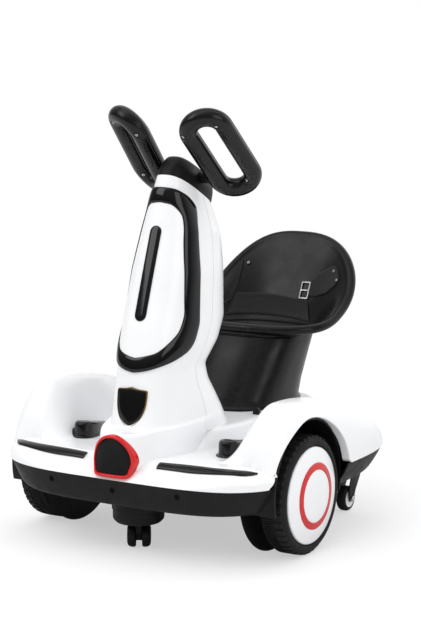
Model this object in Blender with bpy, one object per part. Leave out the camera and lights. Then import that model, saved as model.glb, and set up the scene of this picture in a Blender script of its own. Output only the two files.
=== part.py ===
"""Kids electric drift scooter: a seat on a low round-fendered body, steered by two ring levers.

Metres, +Z up. The front faces -Y, the floor is z = 0, and +X is the right side in a view of the front.
Lengths along Y in the design are measured from a plane just ahead of the drive axle, and place()
moves them to the part's own origin, which lies on the floor under the middle of the overall box.
"""
import math

import bmesh
import bpy
from mathutils import Matrix, Vector

# Fits
GAP = 0.0004            # between two faces that meet
SLIDE_FIT = 0.0005      # radial play of a turning or sliding piece
WALL = 0.003            # moulded plastic wall

# Overall body in plan
BODY_HALF_WIDTH = 0.278
FRONT_REACH = 0.190
REAR_REACH = 0.360
BODY_EDGE_Z = 0.135     # lower edge of the white body
DECK_Z = 0.166
FRONT_SQUARENESS = 4.0
REAR_SQUARENESS = 4.0
APRON_RADIUS = 0.050
SHOULDER_RADIUS = 0.070

# Fenders
FENDER_TOP_Z = 0.258
FENDER_CROWN_X = 0.215
FENDER_FOOT_X = 0.150
FENDER_TOP_Y = -0.030
FENDER_FALL = 0.85      # how fast the crown drops away behind its top, per metre
FENDER_FRONT = 0.078    # run from the crown's top to the fender's front foot

# Raised middle under the seat
PLATFORM_Z = 0.198
PLATFORM_HALF_WIDTH = 0.108
PLATFORM_FRONT_Y = -0.070
PLATFORM_REAR_Y = 0.340
PLATFORM_FLARE = 0.012  # how much wider the platform is at the deck than on top

# Drive wheels
TYRE_RADIUS = 0.100
TYRE_WIDTH = 0.048
HALF_TRACK = 0.240
WHEEL_Y = 0.010          # the drive wheels stand a little behind the middle of their arches
RIM_RADIUS = 0.0765
CAP_RADIUS = 0.081
CAP_BULGE = 0.011
RING_INNER = 0.044
RING_OUTER = 0.056
AXLE_RADIUS = 0.006
ARCH_RADIUS = 0.115
ARCH_Y = 0.005
ARCH_RISE = 0.015       # arch centre above the axle
ARCH_LIP = 0.018        # depth of the fender's inner lip

# Lower tub
SKIRT_LOW_Z = 0.093
TUB_FLOOR_Z = 0.088
BELLY_Z = 0.070
BELLY_FRONT_Y = -0.045
BELLY_REAR_Y = 0.341
WELL_INNER_X = HALF_TRACK - TYRE_WIDTH / 2 - 0.022
BELLY_HALF_WIDTH = WELL_INNER_X - WALL

# Column and ring levers
COVER_WALL = 0.0025
RING_HALF_WIDTH = 0.0302    # half-width of a ring's centre line
RING_STRAIGHT = 0.0539      # half of its straight run
RING_TUBE = 0.0156
RING_WALL = 0.0030
RING_CENTRE = Vector((0.0790, 0.0258, 0.6550))
RING_LEAN = math.radians(43.3)      # tops of the rings lean forward by this
RING_SPLAY = math.radians(14.7)     # outer sides of the rings sweep back
RING_CANT = math.radians(19.5)      # outer sides of the rings rise
PIVOT_Y = 0.048
PIVOT_Z = 0.6105
PIVOT_ROD_RADIUS = 0.003
HUB_RADIUS = 0.0095
HUB_WAIST = 0.0070
POST_RADIUS = 0.0125

# Seat
RIM_HALF_WIDTH = 0.1425
RIM_HALF_DEPTH = 0.120
RIM_CENTRE_Y = 0.333
RIM_FRONT_Z = 0.329
RIM_BACK_Z = 0.470
RIM_RISE_POWER = 2.74
RIM_TUBE = 0.0085
PEDESTAL_TOP_Z = 0.3150
PEDESTAL_HALF_WIDTH = 0.092
PEDESTAL_HALF_DEPTH = 0.108
PEDESTAL_CENTRE_Y = 0.225
FLANGE_OUT = 0.004
FLANGE_HEIGHT = 0.004

# Casters
FRONT_CASTER_Y = -0.108
FRONT_HOUSING_RADIUS = 0.043
FRONT_HOUSING_LOW_Z = 0.048
FRONT_WHEEL_RADIUS = 0.020
FRONT_WHEEL_WIDTH = 0.0145
FRONT_TRAIL = 0.014
FRONT_YAW = math.radians(31.0)      # how the front caster stands at rest
REAR_CASTER_X = BELLY_HALF_WIDTH - 0.013
REAR_CASTER_Y = 0.317
REAR_TRAIL = 0.020
REAR_WHEEL_RADIUS = 0.0225
REAR_WHEEL_WIDTH = 0.0180
STEM_RADIUS = 0.006
CORNER_RISE = 0.002      # the belly's rear corners stand higher, clear of the casters' swing
CORNER_X = REAR_CASTER_X - 0.050
CORNER_Y = REAR_CASTER_Y - 0.049

# The design plane's place from the middle of the overall box, which runs from nose to seat rim
SEAT_BACK_Y = RIM_CENTRE_Y + RIM_HALF_DEPTH + RIM_TUBE
NOSE_PROUD = 0.005
AXLE_Y = (FRONT_REACH + NOSE_PROUD - SEAT_BACK_Y) / 2

MATERIALS = {
    "white_gloss": ((0.86, 0.87, 0.89), 0.14, 0.0),
    "black_gloss": ((0.008, 0.008, 0.009), 0.10, 0.0),
    "black_plastic": ((0.016, 0.016, 0.017), 0.38, 0.0),
    "grey_plastic": ((0.045, 0.046, 0.048), 0.50, 0.0),
    "seat_plastic": ((0.012, 0.012, 0.013), 0.30, 0.0),
    "webbing": ((0.014, 0.014, 0.015), 0.85, 0.0),
    "rubber": ((0.020, 0.020, 0.021), 0.75, 0.0),
    "red_gloss": ((0.75, 0.012, 0.010), 0.20, 0.0),
    "bare_steel": ((0.56, 0.57, 0.58), 0.32, 1.0),
    "chrome": ((0.75, 0.75, 0.76), 0.10, 1.0),
    "battery_case": ((0.035, 0.040, 0.050), 0.45, 0.0),
    "circuit_green": ((0.010, 0.090, 0.035), 0.45, 0.0),
}


def material(name):
    """The named material, made once."""
    if name in bpy.data.materials:
        return bpy.data.materials[name]
    colour, roughness, metallic = MATERIALS[name]
    made = bpy.data.materials.new(name)
    made.use_nodes = True
    shader = made.node_tree.nodes["Principled BSDF"]
    shader.inputs["Base Color"].default_value = (*colour, 1.0)
    shader.inputs["Roughness"].default_value = roughness
    shader.inputs["Metallic"].default_value = metallic
    made.diffuse_color = (*colour, 1.0)
    return made


def place(name, shape, finish, pivot=Vector((0, 0, 0)), smooth=True):
    """Turn a bmesh drawn in the design's axes into an object with its origin at pivot."""
    bmesh.ops.remove_doubles(shape, verts=shape.verts, dist=1e-6)
    bmesh.ops.recalc_face_normals(shape, faces=shape.faces)
    if shape.calc_volume(signed=True) < 0:
        bmesh.ops.reverse_faces(shape, faces=shape.faces)
    bmesh.ops.translate(shape, verts=shape.verts, vec=-Vector(pivot))
    mesh = bpy.data.meshes.new(name)
    shape.to_mesh(mesh)
    shape.free()
    mesh.materials.append(material(finish))
    if smooth:
        mesh.shade_smooth()
        mesh.set_sharp_from_angle(angle=math.radians(35))
    made = bpy.data.objects.new(name, mesh)
    made.location = Vector(pivot) + Vector((0, AXLE_Y, 0))
    bpy.context.scene.collection.objects.link(made)
    return made


def tool(name, shape):
    """A cutter or an added lump for a Boolean modifier, kept out of the model."""
    made = place(name, shape, "grey_plastic", smooth=False)
    made.hide_render = True
    made.display_type = "WIRE"
    return made


def boolean(target, operation, other):
    """Add an exact Boolean modifier."""
    step = target.modifiers.new(operation.lower() + "_" + other.name, "BOOLEAN")
    step.operation = operation
    step.solver = "EXACT"
    step.object = other


def skin(shape, rings, closed=True, start_cap=False, end_cap=False):
    """Triangles between successive rings of points, with flat caps where asked.

    Every quad is split along the same diagonal, so that two skins of one plan stay parallel.
    """
    rows = [[shape.verts.new(point) for point in ring] for ring in rings]
    count = len(rows[0])
    last = count if closed else count - 1
    for low, high in zip(rows, rows[1:]):
        for i in range(last):
            j = (i + 1) % count
            shape.faces.new((low[i], low[j], high[j]))
            shape.faces.new((low[i], high[j], high[i]))
    if start_cap:
        shape.faces.new(rows[0])
    if end_cap:
        shape.faces.new(rows[-1])
    return rows


def lofted(rings):
    """A closed body through rings of points, capped at both ends."""
    shape = bmesh.new()
    skin(shape, rings, start_cap=True, end_cap=True)
    return shape


def turned(profile, segments, axis="X", centre=Vector((0, 0, 0))):
    """A body spun from a profile of (radius, place along the axis).

    A profile that starts and ends on the axis closes by itself; any other is closed as a ring.
    """
    shape = bmesh.new()
    solid = profile[0][0] == 0 and profile[-1][0] == 0
    points = [Vector((along, 0, radius)) for radius, along in profile]
    verts = [shape.verts.new(point) for point in points]
    edges = [shape.edges.new(pair) for pair in zip(verts, verts[1:])]
    if not solid:
        edges.append(shape.edges.new((verts[-1], verts[0])))
    bmesh.ops.spin(shape, geom=verts + edges, cent=(0, 0, 0), axis=(1, 0, 0), dvec=(0, 0, 0),
                   angle=2 * math.pi, steps=segments, use_merge=True)
    bmesh.ops.remove_doubles(shape, verts=shape.verts, dist=1e-6)
    turn = {"X": Matrix.Identity(4),
            "Z": Matrix.Rotation(-math.pi / 2, 4, "Y")}[axis]
    bmesh.ops.transform(shape, matrix=Matrix.Translation(centre) @ turn, verts=shape.verts)
    return shape


def rod(radius, start, end, segments=16):
    """A plain cylinder between two points."""
    start, end = Vector(start), Vector(end)
    shape = bmesh.new()
    axis = (end - start).normalized()
    turn = axis.to_track_quat("Z", "Y").to_matrix().to_4x4()
    bmesh.ops.create_cone(shape, cap_ends=True, segments=segments, radius1=radius, radius2=radius,
                          depth=(end - start).length,
                          matrix=Matrix.Translation((start + end) / 2) @ turn)
    return shape


def block(low, high, bevel=0.0):
    """A box between two corners, with its edges rounded once where asked."""
    low, high = Vector(low), Vector(high)
    shape = bmesh.new()
    size = high - low
    bmesh.ops.create_cube(shape, size=1.0, matrix=Matrix.Translation((low + high) / 2)
                          @ Matrix.Diagonal((*size, 1.0)))
    if bevel:
        bmesh.ops.bevel(shape, geom=shape.edges[:], offset=bevel, segments=1, affect="EDGES")
    return shape


def merged(*shapes):
    """Several separate bodies in one bmesh, for cutters."""
    whole = shapes[0]
    for extra in shapes[1:]:
        mesh = bpy.data.meshes.new("joined")
        extra.to_mesh(mesh)
        extra.free()
        whole.from_mesh(mesh)
        bpy.data.meshes.remove(mesh)
    return whole


def mirrored(point, side):
    """The point on the given side of the middle plane."""
    return Vector((point[0] * side, point[1], point[2]))


def smooth_step(value, low, high):
    """0 below low, 1 above high, an S between."""
    t = min(max((value - low) / (high - low), 0.0), 1.0)
    return t * t * (3 - 2 * t)


# Body plan and surface

BODY_MIDDLE_Y = (REAR_REACH - FRONT_REACH) / 2
BODY_HALF_LENGTH = (REAR_REACH + FRONT_REACH) / 2


def plan_point(angle, inset_x=0.0, inset_y=None):
    """A point of the body's outline: angle runs from the front, and the insets move it inward."""
    inset_y = inset_x if inset_y is None else inset_y
    side, along = math.sin(angle), -math.cos(angle)
    power = FRONT_SQUARENESS if along < 0 else REAR_SQUARENESS
    reach = (abs(side) ** power + abs(along) ** power) ** (-1 / power)
    x = (BODY_HALF_WIDTH - inset_x) * side * reach
    y = BODY_MIDDLE_Y + (BODY_HALF_LENGTH - inset_y) * along * reach
    return x, y


def plan_depth(x, y):
    """Roughly how far (x, y) lies inside the body's outline."""
    u = abs(x) / BODY_HALF_WIDTH
    v = (y - BODY_MIDDLE_Y) / BODY_HALF_LENGTH
    power = FRONT_SQUARENESS if v < 0 else REAR_SQUARENESS
    share = (u ** power + abs(v) ** power) ** (1 / power)
    radius = math.hypot(x, y - BODY_MIDDLE_Y)
    if share <= 0:
        return BODY_HALF_WIDTH
    return radius * (1 / share - 1)


def body_top(x, y):
    """Height of the white body above the floor, without the seat's platform."""
    across = abs(x)
    crown = max(FENDER_TOP_Z - FENDER_FALL * (y - FENDER_TOP_Y) ** 2 - DECK_Z, 0.0)
    if y < FENDER_TOP_Y:
        ahead = min((FENDER_TOP_Y - y) / FENDER_FRONT, 1.0)
        crown = (FENDER_TOP_Z - DECK_Z) * (1 - ahead ** 2.2) ** 0.75
    fender = crown * smooth_step(across, FENDER_FOOT_X, FENDER_CROWN_X)
    depth = max(plan_depth(x, y), 0.0)
    gentle = 1 - max(1 - depth / APRON_RADIUS, 0.0) ** 1.55
    steep = (1 - max(1 - depth / SHOULDER_RADIUS, 0.0) ** 3) ** (1 / 3)
    flank = smooth_step(across, 0.12, 0.22)
    rise = gentle * (1 - flank) + steep * flank
    return BODY_EDGE_Z + (DECK_Z - BODY_EDGE_Z + fender) * rise


def body_normal(x, y):
    """Outward direction of the white body's surface."""
    step = 0.0008
    slope_x = (body_top(x + step, y) - body_top(x - step, y)) / (2 * step)
    slope_y = (body_top(x, y + step) - body_top(x, y - step)) / (2 * step)
    return Vector((-slope_x, -slope_y, 1)).normalized()


BODY_RINGS = (0.0, 0.005, 0.014, 0.028, 0.045, 0.063, 0.080, 0.097, 0.113, 0.130, 0.170, 0.225)
BODY_SPOKES = 40


def body_dome(inset, base_z):
    """The closed solid under the white surface: a positive inset shrinks it, a negative one grows it."""
    shape = bmesh.new()
    angles = [2 * math.pi * (k + 0.5) / BODY_SPOKES for k in range(BODY_SPOKES)]
    rings = [[Vector((*plan_point(angle, inset), base_z)) for angle in angles]]
    if inset:
        rings.append([Vector((*plan_point(angle, inset), BODY_EDGE_Z)) for angle in angles])
    middle = Vector((0, BODY_MIDDLE_Y, 0))
    for depth in BODY_RINGS[1:]:
        ring = []
        for angle in angles:
            spot = Vector((*plan_point(angle), 0)).lerp(middle, depth / BODY_HALF_WIDTH)
            spot.z = body_top(spot.x, spot.y)
            ring.append(spot - body_normal(spot.x, spot.y) * inset)
        rings.append(ring)
    rows = skin(shape, rings, start_cap=True)
    hub = shape.verts.new((0, BODY_MIDDLE_Y, rings[-1][0].z))
    for i in range(BODY_SPOKES):
        shape.faces.new((rows[-1][i], rows[-1][(i + 1) % BODY_SPOKES], hub))
    return shape


def platform_solid(inset):
    """The raised middle that the seat stands on, with walls that flare out to the deck."""
    middle_y = (PLATFORM_FRONT_Y + PLATFORM_REAR_Y) / 2
    half_length = (PLATFORM_REAR_Y - PLATFORM_FRONT_Y) / 2
    rings = []
    for out, z in ((PLATFORM_FLARE, BODY_EDGE_Z + 0.001), (PLATFORM_FLARE, DECK_Z),
                   (PLATFORM_FLARE * 0.45, DECK_Z + 0.006), (0.0, PLATFORM_Z - 0.006),
                   (-0.005, PLATFORM_Z)):
        ring = []
        for front, back in zip(*[oval(PLATFORM_HALF_WIDTH + out - inset, half_length + out - inset,
                                      middle_y, z - inset, power, 32) for power in (3.0, 6.0)]):
            ring.append(front if front.y < middle_y else back)
        rings.append(ring)
    return lofted(rings)


def seat_on_body(piece):
    """Trim a piece's underside so that it follows the white body with a small gap."""
    grown = bpy.data.objects.get("body_grown")
    if grown is None:
        grown = tool("body_grown", body_dome(-GAP, BODY_EDGE_Z - 0.03))
    boolean(piece, "DIFFERENCE", grown)


def arch_cylinder(radius, inner_x, side, outer_x=0.320):
    """A cylinder along the wheel arch's own axis."""
    centre_z = TYRE_RADIUS + ARCH_RISE
    return rod(radius, (side * inner_x, ARCH_Y, centre_z), (side * outer_x, ARCH_Y, centre_z), 32)


def make_body_shell():
    """White top moulding: apron, deck, seat platform and fenders, open below."""
    shell = place("body_shell", body_dome(0.0, BODY_EDGE_Z), "white_gloss")
    hollow = tool("body_hollow", body_dome(WALL, BODY_EDGE_Z - 0.02))
    reach = BODY_HALF_WIDTH - ARCH_LIP - 0.012
    lips = tool("arch_lips", merged(*[arch_cylinder(ARCH_RADIUS + WALL, reach, side)
                                      for side in (1, -1)]))
    arches = tool("arch_cut", merged(*[arch_cylinder(ARCH_RADIUS, WELL_INNER_X + 0.006, side)
                                           for side in (1, -1)]))
    boolean(hollow, "DIFFERENCE", lips)
    boolean(shell, "UNION", tool("platform_outside", platform_solid(0.0)))
    boolean(shell, "DIFFERENCE", hollow)
    boolean(shell, "DIFFERENCE", tool("platform_inside", platform_solid(WALL)))
    boolean(shell, "DIFFERENCE", arches)


def tub_ring(inset_x, inset_y, z):
    """One level of the tub's wall."""
    angles = [2 * math.pi * (k + 0.5) / 32 for k in range(32)]
    return [Vector((*plan_point(angle, inset_x, inset_y), z)) for angle in angles]


def make_base_tub():
    """Dark lower tub: skirt all round, belly under the seat, and the wheel wells."""
    levels = ((0.036, 0.018, TUB_FLOOR_Z), (0.026, 0.009, SKIRT_LOW_Z),
              (0.008, 0.004, 0.120), (0.0015, 0.0015, BODY_EDGE_Z - GAP))
    outer = [tub_ring(*level) for level in levels]
    inner = [tub_ring(x + WALL, y + WALL, z + (WALL if z < 0.1 else 0)) for x, y, z in reversed(levels)]
    tub = place("base_tub", lofted(outer + inner), "grey_plastic")
    belly_low = (-BELLY_HALF_WIDTH, BELLY_FRONT_Y, BELLY_Z)
    belly_high = (BELLY_HALF_WIDTH, BELLY_REAR_Y, TUB_FLOOR_Z + WALL)
    belly = tool("belly", block(belly_low, belly_high))
    belly_room = tool("belly_room", block(
        (-BELLY_HALF_WIDTH + WALL, BELLY_FRONT_Y + WALL, BELLY_Z + WALL),
        (BELLY_HALF_WIDTH - WALL, BELLY_REAR_Y - WALL, TUB_FLOOR_Z + 2 * WALL)))
    liner_radius = ARCH_RADIUS - GAP
    liner_outer_x = BODY_HALF_WIDTH - ARCH_LIP
    liners = tool("well_liners", merged(
        arch_cylinder(liner_radius, WELL_INNER_X, 1, liner_outer_x),
        arch_cylinder(liner_radius, WELL_INNER_X, -1, liner_outer_x)))
    boolean(liners, "INTERSECT", tool("under_body", body_dome(WALL + GAP, BELLY_Z + 0.01)))
    well_cuts = []
    for side in (1, -1):
        well_cuts.append(arch_cylinder(liner_radius - WALL, WELL_INNER_X + WALL, side))
    wells = tool("well_room", merged(*well_cuts))
    below = tool("well_below", merged(*[
        block((min(side * WELL_INNER_X, side * 0.32), ARCH_Y - ARCH_RADIUS + WALL, -0.01),
              (max(side * WELL_INNER_X, side * 0.32), ARCH_Y + ARCH_RADIUS - WALL, TUB_FLOOR_Z - 0.001))
        for side in (1, -1)]))
    centre_z = TYRE_RADIUS
    hole_reach = WELL_INNER_X + 0.016
    holes = tool("axle_holes", rod(AXLE_RADIUS + 4 * SLIDE_FIT, (-hole_reach, WHEEL_Y, centre_z),
                                   (hole_reach, WHEEL_Y, centre_z)))
    pads, recesses = [], []
    for side in (1, -1):
        edges = [(side * (CORNER_X - WALL), side * (BELLY_HALF_WIDTH - 0.001)), (side * CORNER_X, side * (BELLY_HALF_WIDTH + 0.009))]
        pads.append(block((min(edges[0]), CORNER_Y - WALL, BELLY_Z + 0.001),
                          (max(edges[0]), BELLY_REAR_Y - 0.001, BELLY_Z + CORNER_RISE + WALL)))
        recesses.append(block((min(edges[1]), CORNER_Y, BELLY_Z - 0.01),
                              (max(edges[1]), BELLY_REAR_Y + 0.01, BELLY_Z + CORNER_RISE)))
    pins = tool("pin_holes", merged(*[
        rod(STEM_RADIUS + SLIDE_FIT, (side * REAR_CASTER_X, REAR_CASTER_Y, BELLY_Z - 0.01),
            (side * REAR_CASTER_X, REAR_CASTER_Y, BELLY_Z + 0.01)) for side in (1, -1)]))
    boolean(tub, "UNION", belly)
    boolean(tub, "DIFFERENCE", belly_room)
    boolean(tub, "UNION", tool("corner_pads", merged(*pads)))
    boolean(tub, "DIFFERENCE", tool("corner_recesses", merged(*recesses)))
    boolean(tub, "UNION", liners)
    boolean(tub, "DIFFERENCE", wells)
    boolean(tub, "DIFFERENCE", below)
    boolean(tub, "DIFFERENCE", holes)
    boolean(tub, "DIFFERENCE", pins)


# Column: sections named by their front and rear ends on the middle plane

SECTIONS = (
    # front (y, z), rear (y, z), half-width, squareness, taper toward the front
    ((-0.190, 0.146), (0.082, DECK_Z - 0.010), 0.088, 3.6, 0.44),
    ((-0.187, 0.188), (0.077, 0.200), 0.088, 3.6, 0.44),
    ((-0.178, 0.209), (0.070, 0.216), 0.085, 3.4, 0.42),
    ((-0.140, 0.219), (0.062, 0.230), 0.081, 3.4, 0.34),
    ((-0.131, 0.240), (0.050, 0.250), 0.076, 3.4, 0.30),
    ((-0.126, 0.272), (0.038, 0.278), 0.068, 3.0, 0.20),
    ((-0.121, 0.303), (0.036, 0.303), 0.063, 2.8, 0.12),
    ((-0.113, 0.338), (0.080, 0.338), 0.066, 2.6, 0.04),
    ((-0.104, 0.374), (0.104, 0.374), 0.067, 2.4, 0.0),
    ((-0.074, 0.460), (0.104, 0.460), 0.063, 2.4, 0.0),
    ((-0.048, 0.532), (0.104, 0.510), 0.053, 2.5, 0.0),
    ((-0.035, 0.580), (0.102, 0.535), 0.041, 2.6, 0.0),
    ((-0.024, 0.619), (0.095, 0.5575), 0.0305, 2.9, 0.0),
)
WIDEST_SHARE = 0.58     # how far back from the front a section is widest
COVER_STEPS = 6         # facets in a quarter of a section


def section(spec, quarter_points, inset=0.0, seam_gap=0.0):
    """Front half and rear half of a section's outline, each from the right side to the left."""
    (front_y, front_z), (rear_y, rear_z), half_width, power, taper = spec
    front = Vector((0, front_y, front_z))
    rear = Vector((0, rear_y, rear_z))
    along = (rear - front).normalized()
    front += along * inset
    rear -= along * inset
    half_width -= inset
    middle = front.lerp(rear, WIDEST_SHARE)
    halves = []
    for end, steps in ((front, quarter_points), (rear, quarter_points)):
        depth = (end - middle).length
        half = []
        for k in range(2 * steps + 1):
            angle = math.pi / 2 * (k / steps - 1)
            share = math.cos(angle)
            back = share ** (2 / power) if share > 1e-9 else 0.0
            wide = abs(math.sin(angle)) ** (2 / power) * (1 if angle >= 0 else -1)
            narrow = 1 - taper * back if end is front else 1.0
            point = middle + (end - middle).normalized() * depth * back
            if k in (0, 2 * steps):
                point += (end - middle).normalized() * seam_gap / 2
            point.x = -half_width * wide * narrow
            half.append(point)
        halves.append(half)
    return halves


def make_column_covers():
    """White front cover with the nose and hips, and the white rear cover behind the seam."""
    steps = COVER_STEPS
    for index, name in enumerate(("column_front_cover", "column_rear_cover")):
        shape = bmesh.new()
        loops = []
        for spec in SECTIONS:
            outside = section(spec, steps, 0.0, 2 * GAP)[index]
            inside = section(spec, steps, COVER_WALL, 2 * GAP)[index]
            loops.append(outside + list(reversed(inside)))
        rows = skin(shape, loops)
        for row in (rows[0], rows[-1]):
            for i in range(2 * steps):
                shape.faces.new((row[i], row[i + 1], row[-2 - i], row[-1 - i]))
        cover = place(name, shape, "white_gloss")
        seat_on_body(cover)
        boolean(cover, "DIFFERENCE", platform_grown())


def platform_grown():
    """The seat's platform with a small gap round it, as a cutter."""
    found = bpy.data.objects.get("platform_grown")
    return found or tool("platform_grown", platform_solid(-GAP))


def column_skin(lift):
    """The column's closed outside, grown by lift, as a cutter that is made once."""
    name = "column_skin_%d" % round(lift * 1e5)
    found = bpy.data.objects.get(name)
    if found:
        return found
    rings = []
    for spec in SECTIONS:
        front, rear = section(spec, COVER_STEPS, -lift)
        rings.append(front + list(reversed(rear[1:-1])))
    rings.insert(0, [point - Vector((0, 0, 0.02)) for point in rings[0]])
    return tool(name, lofted(rings))


def clad(name, outline, low, high, finish, hole=None, sideways=False):
    """A thin plate wrapped on the column between two lifts.

    The outline is seen from the front as (x, z), or from the side as (y, z) for sideways.
    """
    def ring(points, reach):
        return [Vector((reach, a, z)) if sideways else Vector((a, reach, z)) for a, z in points]

    near, far = (-0.10, 0.10) if sideways else (-0.20, -0.01)
    shape = bmesh.new()
    rings = [ring(outline, near), ring(outline, far)]
    if hole:
        rings += [ring(hole, far), ring(hole, near)]
        skin(shape, rings + [rings[0]])
    else:
        skin(shape, rings, start_cap=True, end_cap=True)
    piece = place(name, shape, finish)
    boolean(piece, "INTERSECT", column_skin(high))
    boolean(piece, "DIFFERENCE", column_skin(low))
    return piece


def rounded_outline(low_half, high_half, low_z, high_z, low_corner, high_corner, count):
    """An upright rounded outline as (x, z) pairs, wider or narrower at its foot."""
    points = []
    corners = ((high_half - high_corner, high_z - high_corner, high_corner, 90),
               (low_half - low_corner, low_z + low_corner, low_corner, 0),
               (low_corner - low_half, low_z + low_corner, low_corner, -90),
               (high_corner - high_half, high_z - high_corner, high_corner, 180))
    for x, z, radius, start in corners:
        for k in range(count):
            angle = math.radians(start - 90 * k / (count - 1))
            points.append((x + radius * math.cos(angle), z + radius * math.sin(angle)))
    return points


TRIM_PROUD = 0.0035
PLATE_PROUD = 0.0020
STRIP_PROUD = 0.0015


# The loop's edges from the side, as (y, z) from its foot on the column's front up to its top
LOOP_OUTER = ((-0.150, 0.300), (-0.121, 0.301), (-0.110, 0.309), (-0.088, 0.317), (-0.069, 0.324),
              (-0.050, 0.333), (-0.035, 0.347), (-0.026, 0.365), (-0.019, 0.397), (-0.010, 0.464),
              (0.000, 0.527), (0.008, 0.556), (0.008, 0.567), (0.000, 0.578), (-0.009, 0.586),
              (-0.022, 0.595), (-0.030, 0.599), (-0.150, 0.600))
LOOP_INNER = ((-0.150, 0.324), (-0.116, 0.325), (-0.107, 0.333), (-0.097, 0.341), (-0.083, 0.353),
              (-0.071, 0.364), (-0.063, 0.376), (-0.055, 0.394), (-0.051, 0.420), (-0.046, 0.449),
              (-0.040, 0.481), (-0.033, 0.513), (-0.026, 0.542), (-0.026, 0.554), (-0.030, 0.564),
              (-0.034, 0.571), (-0.037, 0.574), (-0.150, 0.575))


def drawn_in(outline, amount):
    """The outline moved inward by amount, for one that runs anticlockwise."""
    moved = []
    count = len(outline)
    for i in range(count):
        before, here, after = (Vector(outline[(i + step) % count]) for step in (-1, 0, 1))
        first = (here - before).normalized()
        second = (after - here).normalized()
        inward = Vector((-first.y - second.y, first.x + second.x)).normalized()
        spread = max(inward.dot(Vector((-first.y, first.x))), 0.3)
        moved.append(tuple(here + inward * amount / spread))
    return moved


def make_column_front():
    """Gloss black loop, the white plate inside it, and the bare black strip on the plate."""
    strip = rounded_outline(0.0105, 0.0105, 0.383, 0.536, 0.0104, 0.0104, 4)
    clad("column_trim", LOOP_OUTER, GAP, TRIM_PROUD, "black_gloss", LOOP_INNER, sideways=True)
    clad("column_plate", drawn_in(LOOP_INNER, GAP), GAP, PLATE_PROUD, "white_gloss", sideways=True)
    clad("front_strip", strip, PLATE_PROUD + GAP, PLATE_PROUD + GAP + STRIP_PROUD, "black_gloss")


BADGE = ((0, 0.2780), (0.0120, 0.2750), (0.0285, 0.2735), (0.0280, 0.245), (0.0220, 0.228), (0, 0.2105))
BADGE_PROUD = 0.004


def make_badge():
    """Blank shield on the fairing under the loop."""
    outline = list(BADGE) + [(-x, z) for x, z in reversed(BADGE[1:-1])]
    rings = [[Vector((x, badge_y(z) + shift, z)) for x, z in outline] for shift in (0.03, -BADGE_PROUD)]
    badge = place("shield_badge", lofted(rings), "black_gloss", smooth=False)
    boolean(badge, "DIFFERENCE", column_skin(GAP))


def badge_y(z):
    """The fairing's front line where the shield stands."""
    (low_y, low_z), (high_y, high_z) = SECTIONS[4][0], SECTIONS[5][0]
    return low_y + (high_y - low_y) * (z - low_z) / (high_z - low_z)


NOSE_HALF_WIDTH = 0.0385
NOSE_LOW_Z = 0.143
NOSE_HIGH_Z = 0.211
NOSE_BORDER = 0.005


def nose_outline(shrink):
    """The arch-shaped nose outline as (x, z) pairs."""
    half = NOSE_HALF_WIDTH - shrink
    low, high = NOSE_LOW_Z + shrink, NOSE_HIGH_Z - shrink
    knee = 0.165
    points = [(half * math.cos(math.pi * k / 12), knee + (high - knee) * math.sin(math.pi * k / 12))
              for k in range(13)]
    points.append((-half * 0.93, low + 0.006))
    points.append((-half * 0.78, low))
    points.append((half * 0.78, low))
    points.append((half * 0.93, low + 0.006))
    return points


def nose_y(z):
    """The nose plate leans back a little toward its top."""
    return -FRONT_REACH + (z - NOSE_LOW_Z) * 0.07


def make_nose():
    """Black nose panel in a red border."""
    outer, inner = nose_outline(0.0), nose_outline(NOSE_BORDER)
    back, front = 0.030, -NOSE_PROUD
    rings = []
    for outline, shift in ((outer, back), (outer, front), (inner, front), (inner, back)):
        rings.append([Vector((x, nose_y(z) + shift, z)) for x, z in outline])
    shape = bmesh.new()
    skin(shape, rings + [rings[0]])
    border = place("nose_border", shape, "red_gloss")
    panel = nose_outline(NOSE_BORDER + GAP)
    rings = [[Vector((x, nose_y(z) + shift, z)) for x, z in panel] for shift in (back, front * 0.5)]
    insert = place("nose_panel", lofted(rings), "black_gloss")
    for piece in (border, insert):
        boolean(piece, "DIFFERENCE", column_skin(GAP))
        seat_on_body(piece)


POD_X = 0.144
POD_FRONT_Y = -0.056
POD_RADIUS = 0.0175
POD_LENGTH = 0.066
POD_HEIGHT = 0.027


def make_pods():
    """Two teardrop lamp pods on the deck, round in front and drawn to a point behind."""
    for side, name in ((1, "right_lamp_pod"), (-1, "left_lamp_pod")):
        deck = body_top(POD_X, POD_FRONT_Y)
        rings = []
        for grow, height in ((0.004, -0.012), (0.004, 0.004), (0.0, 0.0042), (0.0, 0.92), (-0.002, 1.0)):
            ring = []
            for k in range(10):
                angle = math.radians(15 + 150 * k / 9)
                x = (POD_RADIUS + grow) * math.cos(angle)
                y = -(POD_RADIUS + grow) * math.sin(angle)
                ring.append((x, y))
            ring.append((0.0, POD_LENGTH + grow))
            points = []
            for x, y in ring:
                level = deck + height
                if height > 0.1:
                    level = deck + POD_HEIGHT * height * (1 - 0.45 * max(y, 0) / POD_LENGTH)
                points.append(Vector((side * (POD_X + x), POD_FRONT_Y + y, level)))
            rings.append(points)
        seat_on_body(place(name, lofted(rings), "black_gloss"))


# The right bar seen from above, as (x, y): its front edge outward to the tip, then back along its rear
BAR_OUTLINE = ((0.0780, -0.1635), (0.1100, -0.1630), (0.1480, -0.1605), (0.1850, -0.1550),
               (0.2150, -0.1455), (0.2290, -0.1340), (0.2360, -0.1225), (0.2220, -0.1270),
               (0.2036, -0.1345), (0.1700, -0.1415), (0.1390, -0.1455), (0.1000, -0.1490),
               (0.0720, -0.1510))
BAR_PROUD = 0.0030


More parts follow.
